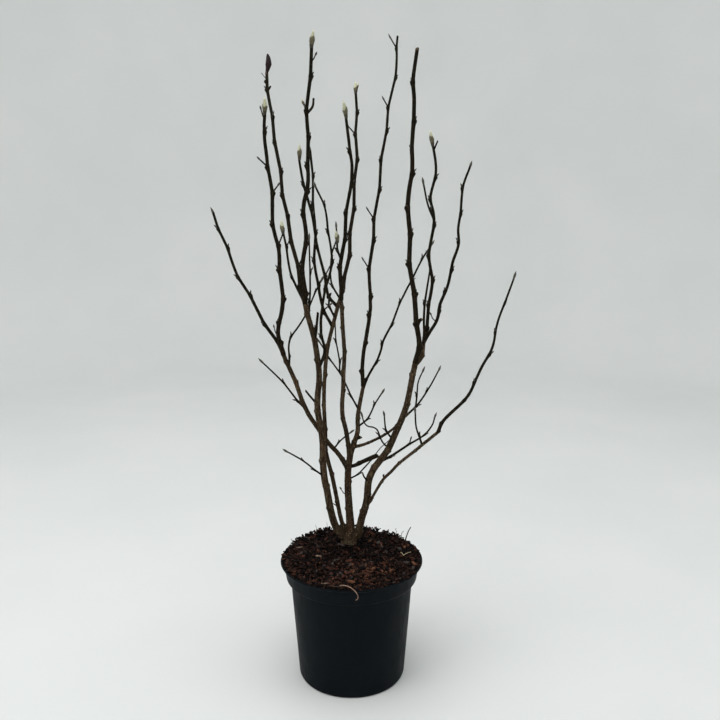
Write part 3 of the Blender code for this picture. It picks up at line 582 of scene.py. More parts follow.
class Nodes:
    """The shader nodes of one material."""

    def __init__(self, name, roughness, **sockets):
        self.material = bpy.data.materials.new(name)
        self.material.use_nodes = True
        self.tree = self.material.node_tree
        self.shader = self.tree.nodes["Principled BSDF"]
        self.shader.inputs["Roughness"].default_value = roughness
        for socket, value in sockets.items():
            self.shader.inputs[socket.replace("_", " ")].default_value = value

    def node(self, kind, **values):
        """Add a node; a value is a number, a colour or another node's output."""
        node = self.tree.nodes.new(kind)
        for name, value in values.items():
            socket = node.inputs[name.replace("_", " ")]
            if isinstance(value, bpy.types.NodeSocket):
                self.tree.links.new(value, socket)
            else:
                socket.default_value = value
        return node

    def places(self, stretch):
        """Return object coordinates scaled by stretch along each axis."""
        coordinates = self.tree.nodes.new("ShaderNodeTexCoord")
        mapping = self.node("ShaderNodeMapping", Vector=coordinates.outputs["Object"])
        mapping.inputs["Scale"].default_value = stretch
        return mapping.outputs["Vector"]

    def grain(self, size, stretch=(1, 1, 1), detail=4.0, roughness=0.6, distortion=0.0):
        """Return a noise whose blotches are about size across."""
        node = self.node("ShaderNodeTexNoise", Vector=self.places(stretch), Scale=1 / size,
                         Detail=detail, Roughness=roughness, Distortion=distortion)
        return node.outputs["Fac"]

    def dots(self, size, spread, stretch=(1, 1, 1)):
        """Return a value that is 1 in small dots, about size across at every spread, else 0."""
        node = self.node("ShaderNodeTexVoronoi", Vector=self.places(stretch), Scale=1 / spread)
        stops = ((0, 1), (0.5 * size / spread, 1), (0.8 * size / spread, 0))
        return self.ramp(node.outputs["Distance"], stops)

    def patches(self, size, stretch, low, high, most, **looks):
        """Return a share that grows from 0 to most where a grain rises from low to high."""
        return self.ramp(self.grain(size, stretch, **looks), ((low, 0), (high, most)))

    def ramp(self, value, stops):
        """Return colours from a ramp of (place, colour) stops, where a number is a grey."""
        node = self.node("ShaderNodeValToRGB", Fac=value)
        elements = node.color_ramp.elements
        while len(elements) < len(stops):
            elements.new(0.5)
        for element, (place, colour) in zip(elements, stops):
            element.position = place
            element.color = (*np.broadcast_to(colour, 3).astype(float), 1)
        return node.outputs["Color"]

    def mix(self, share, low, high):
        """Return a mix of two colours or colour outputs."""
        node = self.tree.nodes.new("ShaderNodeMix")
        node.data_type = "RGBA"
        sockets = node.inputs["Factor"], node.inputs[6], node.inputs[7]
        for socket, value in zip(sockets, (share, low, high)):
            if isinstance(value, bpy.types.NodeSocket):
                self.tree.links.new(value, socket)
            elif isinstance(value, tuple):
                socket.default_value = (*value, 1)
            else:
                socket.default_value = value
        return node.outputs[2]

    def colour(self, output):
        """Set the base colour."""
        self.tree.links.new(output, self.shader.inputs["Base Color"])

    def bump(self, value, strength, depth):
        """Set the normal from one bump, or lay another over it."""
        node = self.node("ShaderNodeBump", Height=value, Strength=strength, Distance=depth)
        normal = self.shader.inputs["Normal"]
        if normal.is_linked:
            self.tree.links.new(normal.links[0].from_socket, node.inputs["Normal"])
        self.tree.links.new(node.outputs["Normal"], normal)


def mottled(name, dark, light, roughness, size, stretch=(1, 1, 1), bump=0.3, **sockets):
    """Return a material that mottles between two colours, with a fine bump of its own."""
    nodes = Nodes(name, roughness, **sockets)
    blotches = nodes.grain(size, stretch)
    nodes.colour(nodes.ramp(blotches, ((0.3, dark), (0.7, light))))
    nodes.bump(nodes.grain(0.35 * size, stretch), bump, 0.25 * size)
    return nodes.material


def old_bark():
    """Return the bark of trunk, stems and boughs: brown-grey, streaked, with pale corky dots."""
    nodes = Nodes("old_bark", 0.88, Specular_IOR_Level=0.08)
    streaks = nodes.grain(2.0 * MM, (1, 1, 0.16), detail=7, roughness=0.68, distortion=0.8)
    colour = nodes.ramp(streaks, ((0.34, (0.009, 0.0055, 0.0030)), (0.46, (0.030, 0.0190, 0.0105)),
                                  (0.56, (0.066, 0.0435, 0.0240)), (0.70, (0.175, 0.130, 0.082))))
    dark = nodes.patches(26 * MM, (1, 1, 0.35), 0.42, 0.62, 0.62, detail=5)
    colour = nodes.mix(dark, colour, (0.016, 0.011, 0.007))
    red = nodes.patches(11 * MM, (1, 1, 0.3), 0.54, 0.70, 0.5)
    colour = nodes.mix(red, colour, (0.078, 0.038, 0.020))
    green = nodes.patches(7 * MM, (1, 1, 0.3), 0.56, 0.72, 0.5)
    colour = nodes.mix(green, colour, (0.066, 0.062, 0.034))
    colour = nodes.mix(nodes.dots(1.0 * MM, 3.8 * MM, (1, 1, 1.3)), colour, (0.21, 0.165, 0.115))
    nodes.colour(colour)
    nodes.bump(nodes.grain(0.9 * MM, (1, 1, 0.2), detail=6), 0.8, 0.7 * MM)
    nodes.bump(nodes.dots(1.1 * MM, 3.8 * MM, (1, 1, 1.3)), 0.6, 0.35 * MM)
    return nodes.material


def shoot_bark(name, dark, middle, light, roughness):
    """Return the smoother bark of a shoot, with fine streaks and tiny pale dots."""
    nodes = Nodes(name, roughness, Specular_IOR_Level=0.06)
    streaks = nodes.grain(1.3 * MM, (1, 1, 0.25), detail=6, roughness=0.65, distortion=0.5)
    colour = nodes.ramp(streaks, ((0.36, dark), (0.52, middle), (0.70, light)))
    pale = tuple(1.9 * part + 0.01 for part in light)
    colour = nodes.mix(nodes.dots(0.5 * MM, 2.6 * MM, (1, 1, 0.8)), colour, pale)
    nodes.colour(colour)
    nodes.bump(nodes.grain(0.5 * MM, (1, 1, 0.3)), 0.35, 0.2 * MM)
    nodes.bump(nodes.dots(0.5 * MM, 2.6 * MM, (1, 1, 0.8)), 0.4, 0.12 * MM)
    return nodes.material


def downy(name, dark, light, size=0.8 * MM, sheen=0.6):
    """Return the short silky down of a bud, streaked along it."""
    return mottled(name, dark, light, 0.6, size, (1, 1, 0.3), 0.5, Sheen_Weight=sheen, Sheen_Roughness=0.4)


def black_plastic():
    """Return the pot's satin black plastic, a little dusty and scuffed."""
    nodes = Nodes("black_plastic", 0.5, Specular_IOR_Level=0.045)
    dust = nodes.patches(22 * MM, (1, 1, 0.5), 0.48, 0.85, 0.03, detail=8, roughness=0.7)
    colour = nodes.mix(dust, (0.0036, 0.0056, 0.0074), (0.06, 0.060, 0.058))
    colour = nodes.mix(nodes.dots(0.8 * MM, 9 * MM), colour, (0.020, 0.018, 0.016))
    nodes.colour(colour)
    worn = nodes.ramp(nodes.grain(12 * MM, (1, 1, 0.4), detail=6), ((0.35, 0.42), (0.7, 0.60)))
    nodes.tree.links.new(worn, nodes.shader.inputs["Roughness"])
    nodes.bump(nodes.grain(0.9 * MM), 0.12, 0.1 * MM)
    nodes.bump(nodes.grain(18 * MM, (1, 1, 0.4), detail=2), 0.25, 0.8 * MM)
    return nodes.material


# Wood: trunk, stems and boughs as one skin


def foot_lumps():
    """Return the burrs of the shrub's foot as (place, radius)."""
    rng = random.Random("foot")
    lumps = []
    for index in range(FOOT_BURRS):
        angle = 2 * math.pi * index / FOOT_BURRS + rng.uniform(-0.3, 0.3)
        away = rng.uniform(0.55, 0.85) * CM
        place = (FOOT_ACROSS + away * math.cos(angle), FOOT_DEPTH + away * math.sin(angle),
                 SOIL_TOP_AT_FOOT + rng.uniform(-0.1, 0.5) * CM)
        lumps.append((np.array(place), rng.uniform(0.38, 0.55) * CM))
    return lumps


def add_ball(joined, place, radius):
    """Add a ball, slightly tall."""
    heights = np.linspace(-0.98, 0.98, 14)
    points = place + np.outer(heights * 1.25 * radius, (0, 0, 1))
    around, _ = around_line(points, 20)
    add_tube(joined, points, around, radius * np.sqrt(1 - heights ** 2))


def skin_wood(routes):
    """Fuse the thick limbs into one skin with rounded crotches, as an object without bark."""
    rough = Joined()
    for limb in STEMS + BOUGHS:
        route = routes[limb.name]
        places, points = route.spine()
        around, _ = around_line(points, WOOD_SIDES)
        add_tube(rough, points, around, route.radius(places), dome=0.6)
    for place, radius in foot_lumps():
        add_ball(rough, place, radius)
    thing = rough.build("wood", [])
    skin = thing.modifiers.new("skin", "REMESH")
    skin.mode = "VOXEL"
    skin.voxel_size = WOOD_VOXEL
    rounding = thing.modifiers.new("rounding", "SMOOTH")
    rounding.factor = 0.5
    rounding.iterations = WOOD_ROUNDING
    apply_modifiers(thing)
    return thing


def apply_modifiers(thing):
    """Replace an object's mesh by its evaluated one."""
    depsgraph = bpy.context.evaluated_depsgraph_get()
    evaluated = bpy.data.meshes.new_from_object(thing.evaluated_get(depsgraph))
    old = thing.data
    thing.modifiers.clear()
    thing.data = evaluated
    bpy.data.meshes.remove(old)


def bark_height(route, place, angle, towards):
    """Return how far the bark stands out at lengths along a thick limb and angles round it.

    towards gives the points' outward directions, which the old nodes' knobs look at.
    """
    rng = np.random.default_rng(route.fine.randrange(2 ** 31))
    radius = route.radius(place)
    height = np.zeros_like(place)
    for waves, share in ((3, 0.045), (5, 0.034), (8, 0.026), (13, 0.018)):
        turn = rng.uniform(0, 2 * math.pi)
        drift = turn + 2.5 * np.sin(place / (rng.uniform(2, 5) * CM) + rng.uniform(0, 6))
        height += share * radius * np.sin(waves * angle + drift)
    height += 0.05 * MM * np.sin(place / (1.7 * MM) + 2 * np.sin(3 * angle) + rng.uniform(0, 6))
    for index, node in enumerate(route.nodes):
        off = place - node
        facing = np.clip(towards @ np.array(route.outward(index)), 0, 1)
        height += 1.4 * MM * np.exp(-(off / (3.2 * MM)) ** 2) * facing ** 3
        height += 0.34 * MM * np.exp(-((off - 0.6 * MM) / (1.0 * MM)) ** 2)
        height -= 0.18 * MM * np.exp(-((off - 2.6 * MM) / (0.9 * MM)) ** 2)
    corks = int(route.length / (2.6 * MM))
    for _ in range(corks):
        spot = rng.uniform(0, route.length)
        turn = rng.uniform(0, 2 * math.pi)
        near = np.abs(place - spot) < 3 * MM
        round_off = np.remainder(angle[near] - turn + math.pi, 2 * math.pi) - math.pi
        reach = ((place[near] - spot) / (0.8 * MM)) ** 2 + (round_off * radius[near] / (1.1 * MM)) ** 2
        height[near] += 0.32 * MM * np.exp(-reach)
    return height


def bark_wood(thing, routes):
    """Raise the bark's relief on the skin of the thick limbs."""
    mesh = thing.data
    points = np.empty(3 * len(mesh.vertices))
    mesh.vertices.foreach_get("co", points)
    points = points.reshape(-1, 3)
    normals = np.empty(3 * len(mesh.vertices))
    mesh.vertex_normals.foreach_get("vector", normals)
    normals = normals.reshape(-1, 3)
    spines = []
    for limb in STEMS + BOUGHS:
        places, centres = routes[limb.name].spine()
        spines.append((routes[limb.name], places, centres, *frames_along(centres)))
    tree = KDTree(sum(len(spine[1]) for spine in spines))
    owners = []
    for number, (_, places, centres, *_) in enumerate(spines):
        for index, centre in enumerate(centres):
            tree.insert(centre, len(owners))
            owners.append((number, index))
    tree.balance()
    nearest = np.array([owners[tree.find(point)[1]] for point in points])
    height = np.zeros(len(points))
    for number, (route, places, centres, along, across, beside) in enumerate(spines):
        mine = np.flatnonzero(nearest[:, 0] == number)
        index = nearest[mine, 1]
        off = points[mine] - centres[index]
        place = np.clip(places[index] + (off * along[index]).sum(axis=1), 0, route.length)
        angle = np.arctan2((off * beside[index]).sum(axis=1), (off * across[index]).sum(axis=1))
        height[mine] = bark_height(route, place, angle, normals[mine])
    points += normals * height[:, None]
    points[:, 2] = np.maximum(points[:, 2], SOIL_TOP_AT_FOOT - 2 * MM)
    mesh.vertices.foreach_set("co", points.ravel())
    mesh.update()
    mesh.shade_smooth()


def build_wood(routes):
    """Make the trunk, stems and boughs."""
    thing = skin_wood(routes)
    bark_wood(thing, routes)
    thing.data.materials.append(old_bark())
    settle(thing, [limb.name for limb in STEMS + BOUGHS])


# Shoots


def ring_places(route):
    """Return the lengths at which a shoot has rings: close together at its nodes and scars."""
    places = [np.linspace(0, route.length, max(6, round(route.length / SHOOT_STEP)))]
    for node in route.nodes + route.scars:
        places.append(np.arange(node - NODE_REACH, node + NODE_REACH, NODE_STEP))
    places = np.unique(np.round(np.concatenate(places), 5))
    places = places[(places >= 0) & (places <= route.length)]
    keep = np.concatenate(([True], np.diff(places) > 0.3 * MM))
    return places[keep]


def shoot_radii(route, places, around):
    """Return a shoot's radius at every point of its rings."""
    rng = route.fine
    base = route.radius(places)[:, None] + SHOOT_FULLNESS
    sides = around.shape[1]
    angles = turn_of(sides)
    radii = np.repeat(base, sides, axis=1)
    for waves in (2, 3, 5):
        drift = rng.uniform(0, 6) + 3 * np.sin(places / (rng.uniform(2, 6) * CM) + rng.uniform(0, 6))
        radii += 0.03 * base * np.sin(waves * angles[None] + drift[:, None])
    for index, node in enumerate(route.nodes):
        facing = np.clip(around @ np.array(route.outward(index)), 0, 1)
        off = (places - node + 0.5 * MM)[:, None]
        reach = np.where(off < 0, 4.2 * MM, 1.8 * MM)
        knob = np.exp(-(off / reach) ** 2)
        radii += (0.50 * base + 0.45 * MM) * knob * facing ** 2
        radii += 0.15 * base * knob
        radii += 0.16 * MM * np.exp(-((off - 2.2 * MM) / (0.5 * MM)) ** 2)
    for scar in route.scars:
        for ring in range(4):
            off = (places - scar - 1.1 * MM * (ring - 1.5))[:, None]
            radii += 0.16 * MM * np.exp(-(off / (0.42 * MM)) ** 2)
    return radii


def year_scars(route):
    """Return where the year's growths of a shoot began."""
    scars = []
    place = route.length - route.fine.uniform(*LAST_GROWTH) * CM
    while place > 3 * CM:
        scars.append(place)
        place -= route.fine.uniform(*YEAR_GROWTH) * CM
    return scars


def shoot_tones(route, places):
    """Return the bark tone at each ring: 0 older, 1 middle, 2 the last year's growth."""
    radius = route.radius(places)
    tones = np.where(radius > OLD_BARK_RADIUS, 0, 1)
    if route.scars:
        tones = np.where(places > route.scars[0], 2, tones)
    elif route.limb.thick[0] < TWIG_THICKNESS:
        tones = np.full(len(places), 2)
    return tones


def build_shoots(routes):
    """Make every shoot, with what it bears, joined by kind."""
    sides_of_shrub = {"left": Joined(), "right": Joined()}
    growth = {kind: Joined() for kind in ("side_buds", "end_buds", "bud_down", "leaf_scars", "spurs")}
    for limb in SHOOTS:
        route = routes[limb.name]
        route.scars = year_scars(route)
        places = ring_places(route)
        spine_places, spine = route.spine()
        points = np.stack([np.interp(places, spine_places, spine[:, axis]) for axis in range(3)], axis=1)
        around, along = around_line(points, SHOOT_SIDES)
        radii = shoot_radii(route, places, around)
        shell = sides_of_shrub["left" if points[-1, 0] < 0.01 * CM else "right"]
        cut = 3 if limb.end == "cut" else None
        if cut:
            slant_tip(around, along, route)
        add_tube(shell, points, around, radii, shoot_tones(route, places), cut, 0.15 if cut else 0.7)
        grow_sides(growth, route)
        if limb.end != "cut":
            grow_end(growth, route)
    for spur in SPURS:
        grow_spur(growth, spur, routes[spur.limb])
    return sides_of_shrub, growth


def slant_tip(around, along, route):
    """Slant the last ring of a limb that was cut off."""
    turn = route.fine.uniform(0, 2 * math.pi)
    slope = np.cos(turn_of(around.shape[1]) - turn)
    around[-1] += 0.7 * slope[:, None] * along[-1]


# Buds, spurs and scars


def bud_shell(foot, aim, bend, length, width, profile, rings, sides):
    """Return a bud's centre points, ring directions and radii."""
    share = np.linspace(0, 1, rings)
    way = np.outer(share, aim) + np.outer(share ** 2, bend)
    points = np.array(foot) + length * way
    around, _ = around_line(points, sides)
    along, wide = zip(*profile)
    radii = 0.5 * width * np.interp(share, along, wide)
    radii[1:-1] = 0.25 * (radii[:-2] + 2 * radii[1:-1] + radii[2:])
    return share, points, around, radii


# Each bud's profile: the width at shares of its length, as shares of its greatest width
SIDE_BUD = ((0.0, 0.66), (0.10, 0.84), (0.30, 1.0), (0.50, 0.90), (0.72, 0.60), (0.90, 0.26), (1.0, 0.05))
FLOWER_BUD = ((0.0, 0.56), (0.10, 0.62), (0.26, 0.80), (0.42, 1.0), (0.58, 0.93), (0.74, 0.64), (0.90, 0.32),
              (1.0, 0.06))
LEAF_BUD = ((0.0, 0.70), (0.20, 0.86), (0.40, 1.0), (0.60, 0.86), (0.82, 0.45), (1.0, 0.05))
DARK_BUD = ((-0.22, 0.40), (-0.10, 0.50), (-0.02, 0.44), (0.10, 0.58), (0.26, 0.76), (0.43, 1.0),
            (0.60, 0.90), (0.80, 0.68), (0.94, 0.40), (1.0, 0.12))
SIDE_BUD_SIDES = 10
DARK_BUD_NECK = -0.02
DARK_BUD_BOW = 0.07
DARK_BUD_LEAN = 0.13
CREAM_BUD = (1.15 * CM, 0.34 * CM)


def add_side_bud(growth, foot, aim, direction, length, rng):
    """Add one small downy bud with the seam of its scale."""
    bend = 0.12 * (direction - aim)
    share, points, around, radii = bud_shell(foot, aim, bend, length, BUD_WIDTH, SIDE_BUD, 14, SIDE_BUD_SIDES)
    angles = turn_of(SIDE_BUD_SIDES)
    seam = rng.uniform(0, 6)
    rings = radii[:, None] * (1 - 0.10 * np.exp(-((np.remainder(angles - seam, 2 * math.pi) - 1) / 0.5) ** 2))
    rings = rings * (1 + 0.05 * (share[:, None] < 0.2))
    tone = rng.choice((0, 0, 1))
    add_tube(growth["side_buds"], points, around, rings, tone, dome=0.3)


def add_leaf_scar(growth, point, outward, direction, radius):
    """Add the pale shield-shaped scar of last year's leaf, under a bud."""
    beside = direction.cross(outward).normalized()
    count = 10
    place = point + outward * (1.30 * radius) - direction * 1.9 * MM
    rim = []
    for index in range(count):
        angle = 2 * math.pi * index / count
        high = 0.75 * MM * math.sin(angle)
        wide = (0.95 - 0.25 * math.sin(angle)) * MM * math.cos(angle)
        rim.append(place + direction * high + beside * wide - outward * (0.35 * MM + 60 * wide * wide))
    rim.append(place + outward * 0.10 * MM)
    fan = [(index, (index + 1) % count, count) for index in range(count)]
    deep = [point_on - outward * 0.8 * MM for point_on in rim[:count]]
    skirt = [(count + 1 + index, count + 1 + (index + 1) % count, (index + 1) % count, index)
             for index in range(count)]
    growth["leaf_scars"].add(rim + deep, (fan, 0), (skirt, 0))


def grow_sides(growth, route):
    """Add a bud or a short spur with its bud at each node of a shoot, by the source's rule."""
    for index, place in enumerate(route.nodes):
        length = route.rng.uniform(*BUD_LENGTH)
        spur = route.rng.uniform(*SPUR_LENGTH)
        grows_spur = route.rng.random() < SPUR_CHANCE
        point, direction = route.at(place)
        outward = route.outward(index)
        radius = float(route.radius(place))
        if route.limb.thick[0] > SCAR_BEARER:
            add_leaf_scar(growth, point, outward, direction, radius)
        if place < BARE_FOOT * route.length:
            continue
        aim = leaning(direction, outward, BUD_LEAN)
        foot = point + outward * BUD_ROOT * radius
        if grows_spur and route.limb.thick[0] > SPUR_BEARER:
            add_spur(growth, foot, aim, spur, route.fine)
            foot = foot + aim * (spur - 0.1 * length)
        add_side_bud(growth, foot, aim, direction, length, route.fine)


def add_spur(growth, foot, aim, length, rng):
    """Add a short spur, ringed by its old bud scars."""
    rings = 30
    share = np.linspace(0, 1, rings)
    points = np.array(foot) + np.outer(share * length, aim)
    around, _ = around_line(points, 10)
    radii = 0.5 * SPUR_THICKNESS * (1.2 - 0.2 * share)
    radii = radii * (1 + 0.10 * np.sin(share * length / (0.5 * MM) + rng.uniform(0, 6)))
    add_tube(growth["spurs"], points, around, radii, dome=0.6)


def grow_spur(growth, spur, route):
    """Add one of the small spurs that show, with its end."""
    foot = route.at_height(spur.height * CM)
    knots = [foot]
    for index, (across, up) in enumerate(spur.bends):
        share = (index + 1) / len(spur.bends)
        knots.append(Vector((across * CM, foot.y + share * spur.push * CM, up * CM)))
    points = np.array(curve_through(knots))
    around, along = around_line(points, 12)
    share = np.linspace(0, 1, len(points))
    radii = 0.5 * spur.thick * MM * (1.25 - 0.3 * share + 0.05 * np.sin(40 * share + spur.height))
    cut = spur.end == "cut"
    if cut:
        slant_tip(around, along, route)
    add_tube(growth["spurs"], points, around, radii, 0, 1 if cut else None, 0.15 if cut else 0.6)
    ahead = Vector(along[-1])
    if spur.end == "leaf":
        add_side_bud(growth, knots[-1], ahead, ahead, 0.5 * CM, route.fine)
    elif spur.end == "cream":
        length, width = CREAM_BUD
        grow_flower_bud(growth, knots[-1] - ahead * 0.2 * length, ahead, width, length, route.fine)


def add_down(growth, points, around, radii, count, hair, slot, rng, shares=(0.08, 0.95)):
    """Add fine hairs that lie nearly flat along a bud."""
    rings, sides = around.shape[:2]
    place = rng.uniform(shares[0], shares[1], count) * (rings - 1)
    side = rng.integers(0, sides, count)
    index = place.astype(int)
    share = (place - index)[:, None]
    following = np.minimum(index + 1, rings - 1)
    shell = points[:, None] + around * radii[:, :, None]
    roots = shell[index, side] * (1 - share) + shell[following, side] * share
    out = around[index, side]
    slope = unit(shell[following, side] - shell[index, side], 1e-9)
    aim = unit(slope + 0.28 * out + 0.18 * rng.normal(size=(count, 3)))
    beside = unit(np.cross(aim, out), 1e-9)
    length = hair * rng.uniform(0.6, 1.2, count)[:, None]
    wide = 0.045 * MM
    roots = roots - 0.15 * MM * out
    corners = np.stack((roots + wide * beside, roots - wide * beside, roots + wide * out,
                        roots + aim * length), axis=1).reshape(-1, 3)
    first = 4 * np.arange(count)[:, None]
    faces = np.concatenate([first + np.array([corner]) for corner in ((0, 1, 3), (1, 2, 3), (2, 0, 3))])
    growth["bud_down"].add(corners, (faces, slot))


def grow_flower_bud(growth, foot, direction, width, length, rng):
    """Add a silky flower bud: a brown outer scale, a pale silky tip that stands out of it, and down."""
    rings, sides = 38, 22
    sway = Vector((rng.uniform(-0.12, 0.06), rng.uniform(-0.06, 0.06), 0))
    share, points, around, radii = bud_shell(foot, direction, sway, length, width, FLOWER_BUD, rings, sides)
    angles = turn_of(sides)[None]
    share = share[:, None]
    turn = rng.uniform(0, 6)
    seam = np.remainder(angles - turn - 0.9 * share, 2 * math.pi) - math.pi
    shell = radii[:, None] * (1 - 0.13 * np.exp(-(seam / 0.28) ** 2) * (share > 0.12))
    edge = 0.56 + 0.10 * np.cos(angles - turn) + 0.03 * np.cos(3 * angles)
    outer = share < edge
    shell = shell * np.where(outer, 1.07, 0.95)
    shell = shell * (1 + 0.02 * np.sin(9 * angles + 8 * share))
    for ring in (0.06, 0.13, 0.20):
        shell = shell * (1 + 0.07 * np.exp(-((share - ring) / 0.018) ** 2))
    tones = np.where(outer, np.where(share < 0.24, 5, 0), np.where(share < 0.84, 1, 2))
    add_tube(growth["end_buds"], points, around, shell, tones)
    seeds = np.random.default_rng(rng.randrange(2 ** 31))
    size = length / END_BUDS["flower"][0]
    add_down(growth, points, around, shell, 360, 2.0 * MM * size, 0, seeds, (0.52, 0.98))
    add_down(growth, points, around, shell, 260, 1.4 * MM * size, 1, seeds, (0.22, 0.60))


def grow_dark_bud(growth, foot, direction, width, length):
    """Add the large dark bud, dried before it opened, with folded sides on a brown neck."""
    rings, sides = 52, 24
    direction = (direction + Vector((DARK_BUD_LEAN, 0, 0))).normalized()
    share = np.linspace(DARK_BUD[0][0], 1, rings)
    points = np.array(foot) + np.outer(share * length, direction)
    points += np.outer(DARK_BUD_BOW * length * np.sin(math.pi * np.clip(share, 0, 1)), (1, 0, 0))
    around, _ = around_line(points, sides)
    along, wide = zip(*DARK_BUD)
    radii = 0.5 * width * np.interp(share, along, wide)
    angles = turn_of(sides)[None]
    share = share[:, None]
    folds = 0.07 * np.sin(4 * angles + 3.0 * share + 1) + 0.035 * np.sin(9 * angles - 5 * share)
    shell = radii[:, None] * (0.97 + folds * np.clip(2.4 * share, 0, 1))
    add_tube(growth["end_buds"], points, around, shell, np.where(share < DARK_BUD_NECK, 4, 3))
    for angle, size in ((0.6, 0.55), (2.7, 0.5), (4.6, 0.6)):
        out = Vector((math.cos(angle), math.sin(angle), 0))
        aim = leaning(direction, out, 0.22)
        root = foot - direction * 0.35 * CM + out * 0.12 * CM
        _, centres, sheath, thick = bud_shell(root, aim, 0.25 * (direction - aim), size * CM, 0.22 * CM,
                                              LEAF_BUD, 12, 8)
        add_tube(growth["end_buds"], centres, sheath, thick, 4)


def grow_end(growth, route):
    """Add the bud that ends a limb."""
    kind = route.limb.end
    length, width = END_BUDS[kind]
    point, direction = route.at(route.length)
    if kind == "dark":
        grow_dark_bud(growth, point, direction, width, length)
        return
    width = max(width, END_BUD_OVER_TIP * route.limb.thick[1] * MM)
    foot = point - direction * END_BUD_OVERLAP * length
    if kind == "flower":
        grow_flower_bud(growth, foot, direction, width, length, route.fine)
        return
    bend = Vector((route.fine.uniform(-0.1, 0.1), route.fine.uniform(-0.1, 0.1), 0))
    _, points, around, radii = bud_shell(foot, direction, bend, length, width, LEAF_BUD, 16, 12)
    add_tube(growth["side_buds"], points, around, radii, 1, dome=0.3)


def build_plant():
    """Build the whole shrub."""
    routes = make_routes()
    build_wood(routes)
    shells, growth = build_shoots(routes)
    tones = [
        shoot_bark("shoot_older", (0.0035, 0.0025, 0.0014), (0.0130, 0.0090, 0.0048),
                   (0.048, 0.035, 0.020), 0.85),
        shoot_bark("shoot_middle", (0.0028, 0.0021, 0.0011), (0.0095, 0.0070, 0.0035),
                   (0.034, 0.026, 0.015), 0.80),
        shoot_bark("shoot_last_year", (0.0030, 0.0025, 0.0012), (0.0095, 0.0080, 0.0036),
                   (0.032, 0.027, 0.014), 0.70),
        mottled("cut_wood", (0.030, 0.022, 0.014), (0.13, 0.10, 0.065), 0.9, 0.8 * MM,
                Specular_IOR_Level=0.1),
    ]
    free = [limb for limb in SHOOTS if not limb.fused]
    for side, shell in shells.items():
        names = [limb.name for limb in free if (limb.bends[-1][0] < 0.01) == (side == "left")]
        shell.build(side + "_shoots", tones, names, "young_shoots")
    bud_brown = downy("bud_brown", (0.010, 0.0075, 0.005), (0.042, 0.033, 0.022), sheen=0.15)
    bud_grey = downy("bud_grey", (0.022, 0.019, 0.013), (0.085, 0.076, 0.056), sheen=0.2)
    growth["side_buds"].build("side_buds", [bud_brown, bud_grey], (), "young_shoots")
    growth["end_buds"].build("end_buds", [
        downy("bud_scale", (0.040, 0.034, 0.014), (0.135, 0.115, 0.056), sheen=0.25),
        downy("bud_silk", (0.30, 0.30, 0.17), (0.60, 0.59, 0.40)),
        downy("bud_tip", (0.60, 0.58, 0.42), (0.88, 0.86, 0.72)),
        mottled("dried_bloom", (0.0045, 0.0015, 0.0018), (0.020, 0.0065, 0.0075), 0.7, 1.2 * MM, (1, 1, 0.3),
                Specular_IOR_Level=0.2),
        mottled("dry_scale", (0.035, 0.014, 0.008), (0.120, 0.060, 0.038), 0.8, 0.8 * MM, (1, 1, 0.3)),
        mottled("bud_foot", (0.014, 0.011, 0.006), (0.060, 0.050, 0.030), 0.8, 0.8 * MM, (1, 1, 0.3)),
    ], (), "young_shoots")
    growth["bud_down"].build("bud_down", [
        mottled("silver_down", (0.60, 0.60, 0.46), (0.85, 0.84, 0.72), 0.5, 1 * MM),
        mottled("olive_down", (0.11, 0.10, 0.055), (0.27, 0.25, 0.15), 0.5, 1 * MM),
    ], (), "young_shoots")
    growth["leaf_scars"].build(
        "leaf_scars", [mottled("leaf_scar", (0.028, 0.022, 0.016), (0.10, 0.085, 0.065), 0.9, 0.5 * MM)],
        (), "young_shoots")
    growth["spurs"].build("spurs", [tones[0], tones[3]], (), "young_shoots")


# Pot


def pot_profile():
    """Return the pot's profile of (radius, height), from its underside over the lip to its floor."""
    return [
        (0.0, 0.0),
        (POT_BASE_RADIUS - POT_EDGE_ROUND, 0.0),
        (POT_BASE_RADIUS - 0.3 * POT_EDGE_ROUND, 0.3 * POT_EDGE_ROUND),
        (POT_BASE_RADIUS, POT_EDGE_ROUND),
        (POT_BODY_TOP_RADIUS, POT_BODY_TOP),
        (BAND_FOOT_RADIUS - BAND_EDGE_IN, BAND_FOOT - BAND_EDGE_DOWN),
        (BAND_FOOT_RADIUS, BAND_FOOT),
        (BAND_TOP_RADIUS, POT_HEIGHT - POT_LIP_HEIGHT - LIP_UNDERCUT),
        (POT_LIP_RADIUS, POT_HEIGHT - POT_LIP_HEIGHT),
        (POT_LIP_RADIUS, POT_HEIGHT - 0.08 * CM),
        (POT_LIP_RADIUS - 0.06 * CM, POT_HEIGHT),
        (POT_LIP_INSIDE + 0.05 * CM, POT_HEIGHT),
        (POT_LIP_INSIDE, POT_HEIGHT - POT_LIP_HEIGHT),
        (BAND_TOP_RADIUS - POT_WALL, POT_HEIGHT - POT_LIP_HEIGHT - LIP_UNDERCUT + 0.1 * CM),
        (BAND_FOOT_RADIUS - POT_WALL, BAND_FOOT + 0.1 * CM),
        (POT_BODY_TOP_RADIUS - POT_WALL, POT_BODY_TOP + 0.1 * CM),
        (POT_BASE_RADIUS - POT_WALL, POT_EDGE_ROUND + POT_WALL),
        (POT_BASE_RADIUS - POT_WALL - 0.3 * CM, POT_WALL),
        (0.0, POT_WALL),
    ]


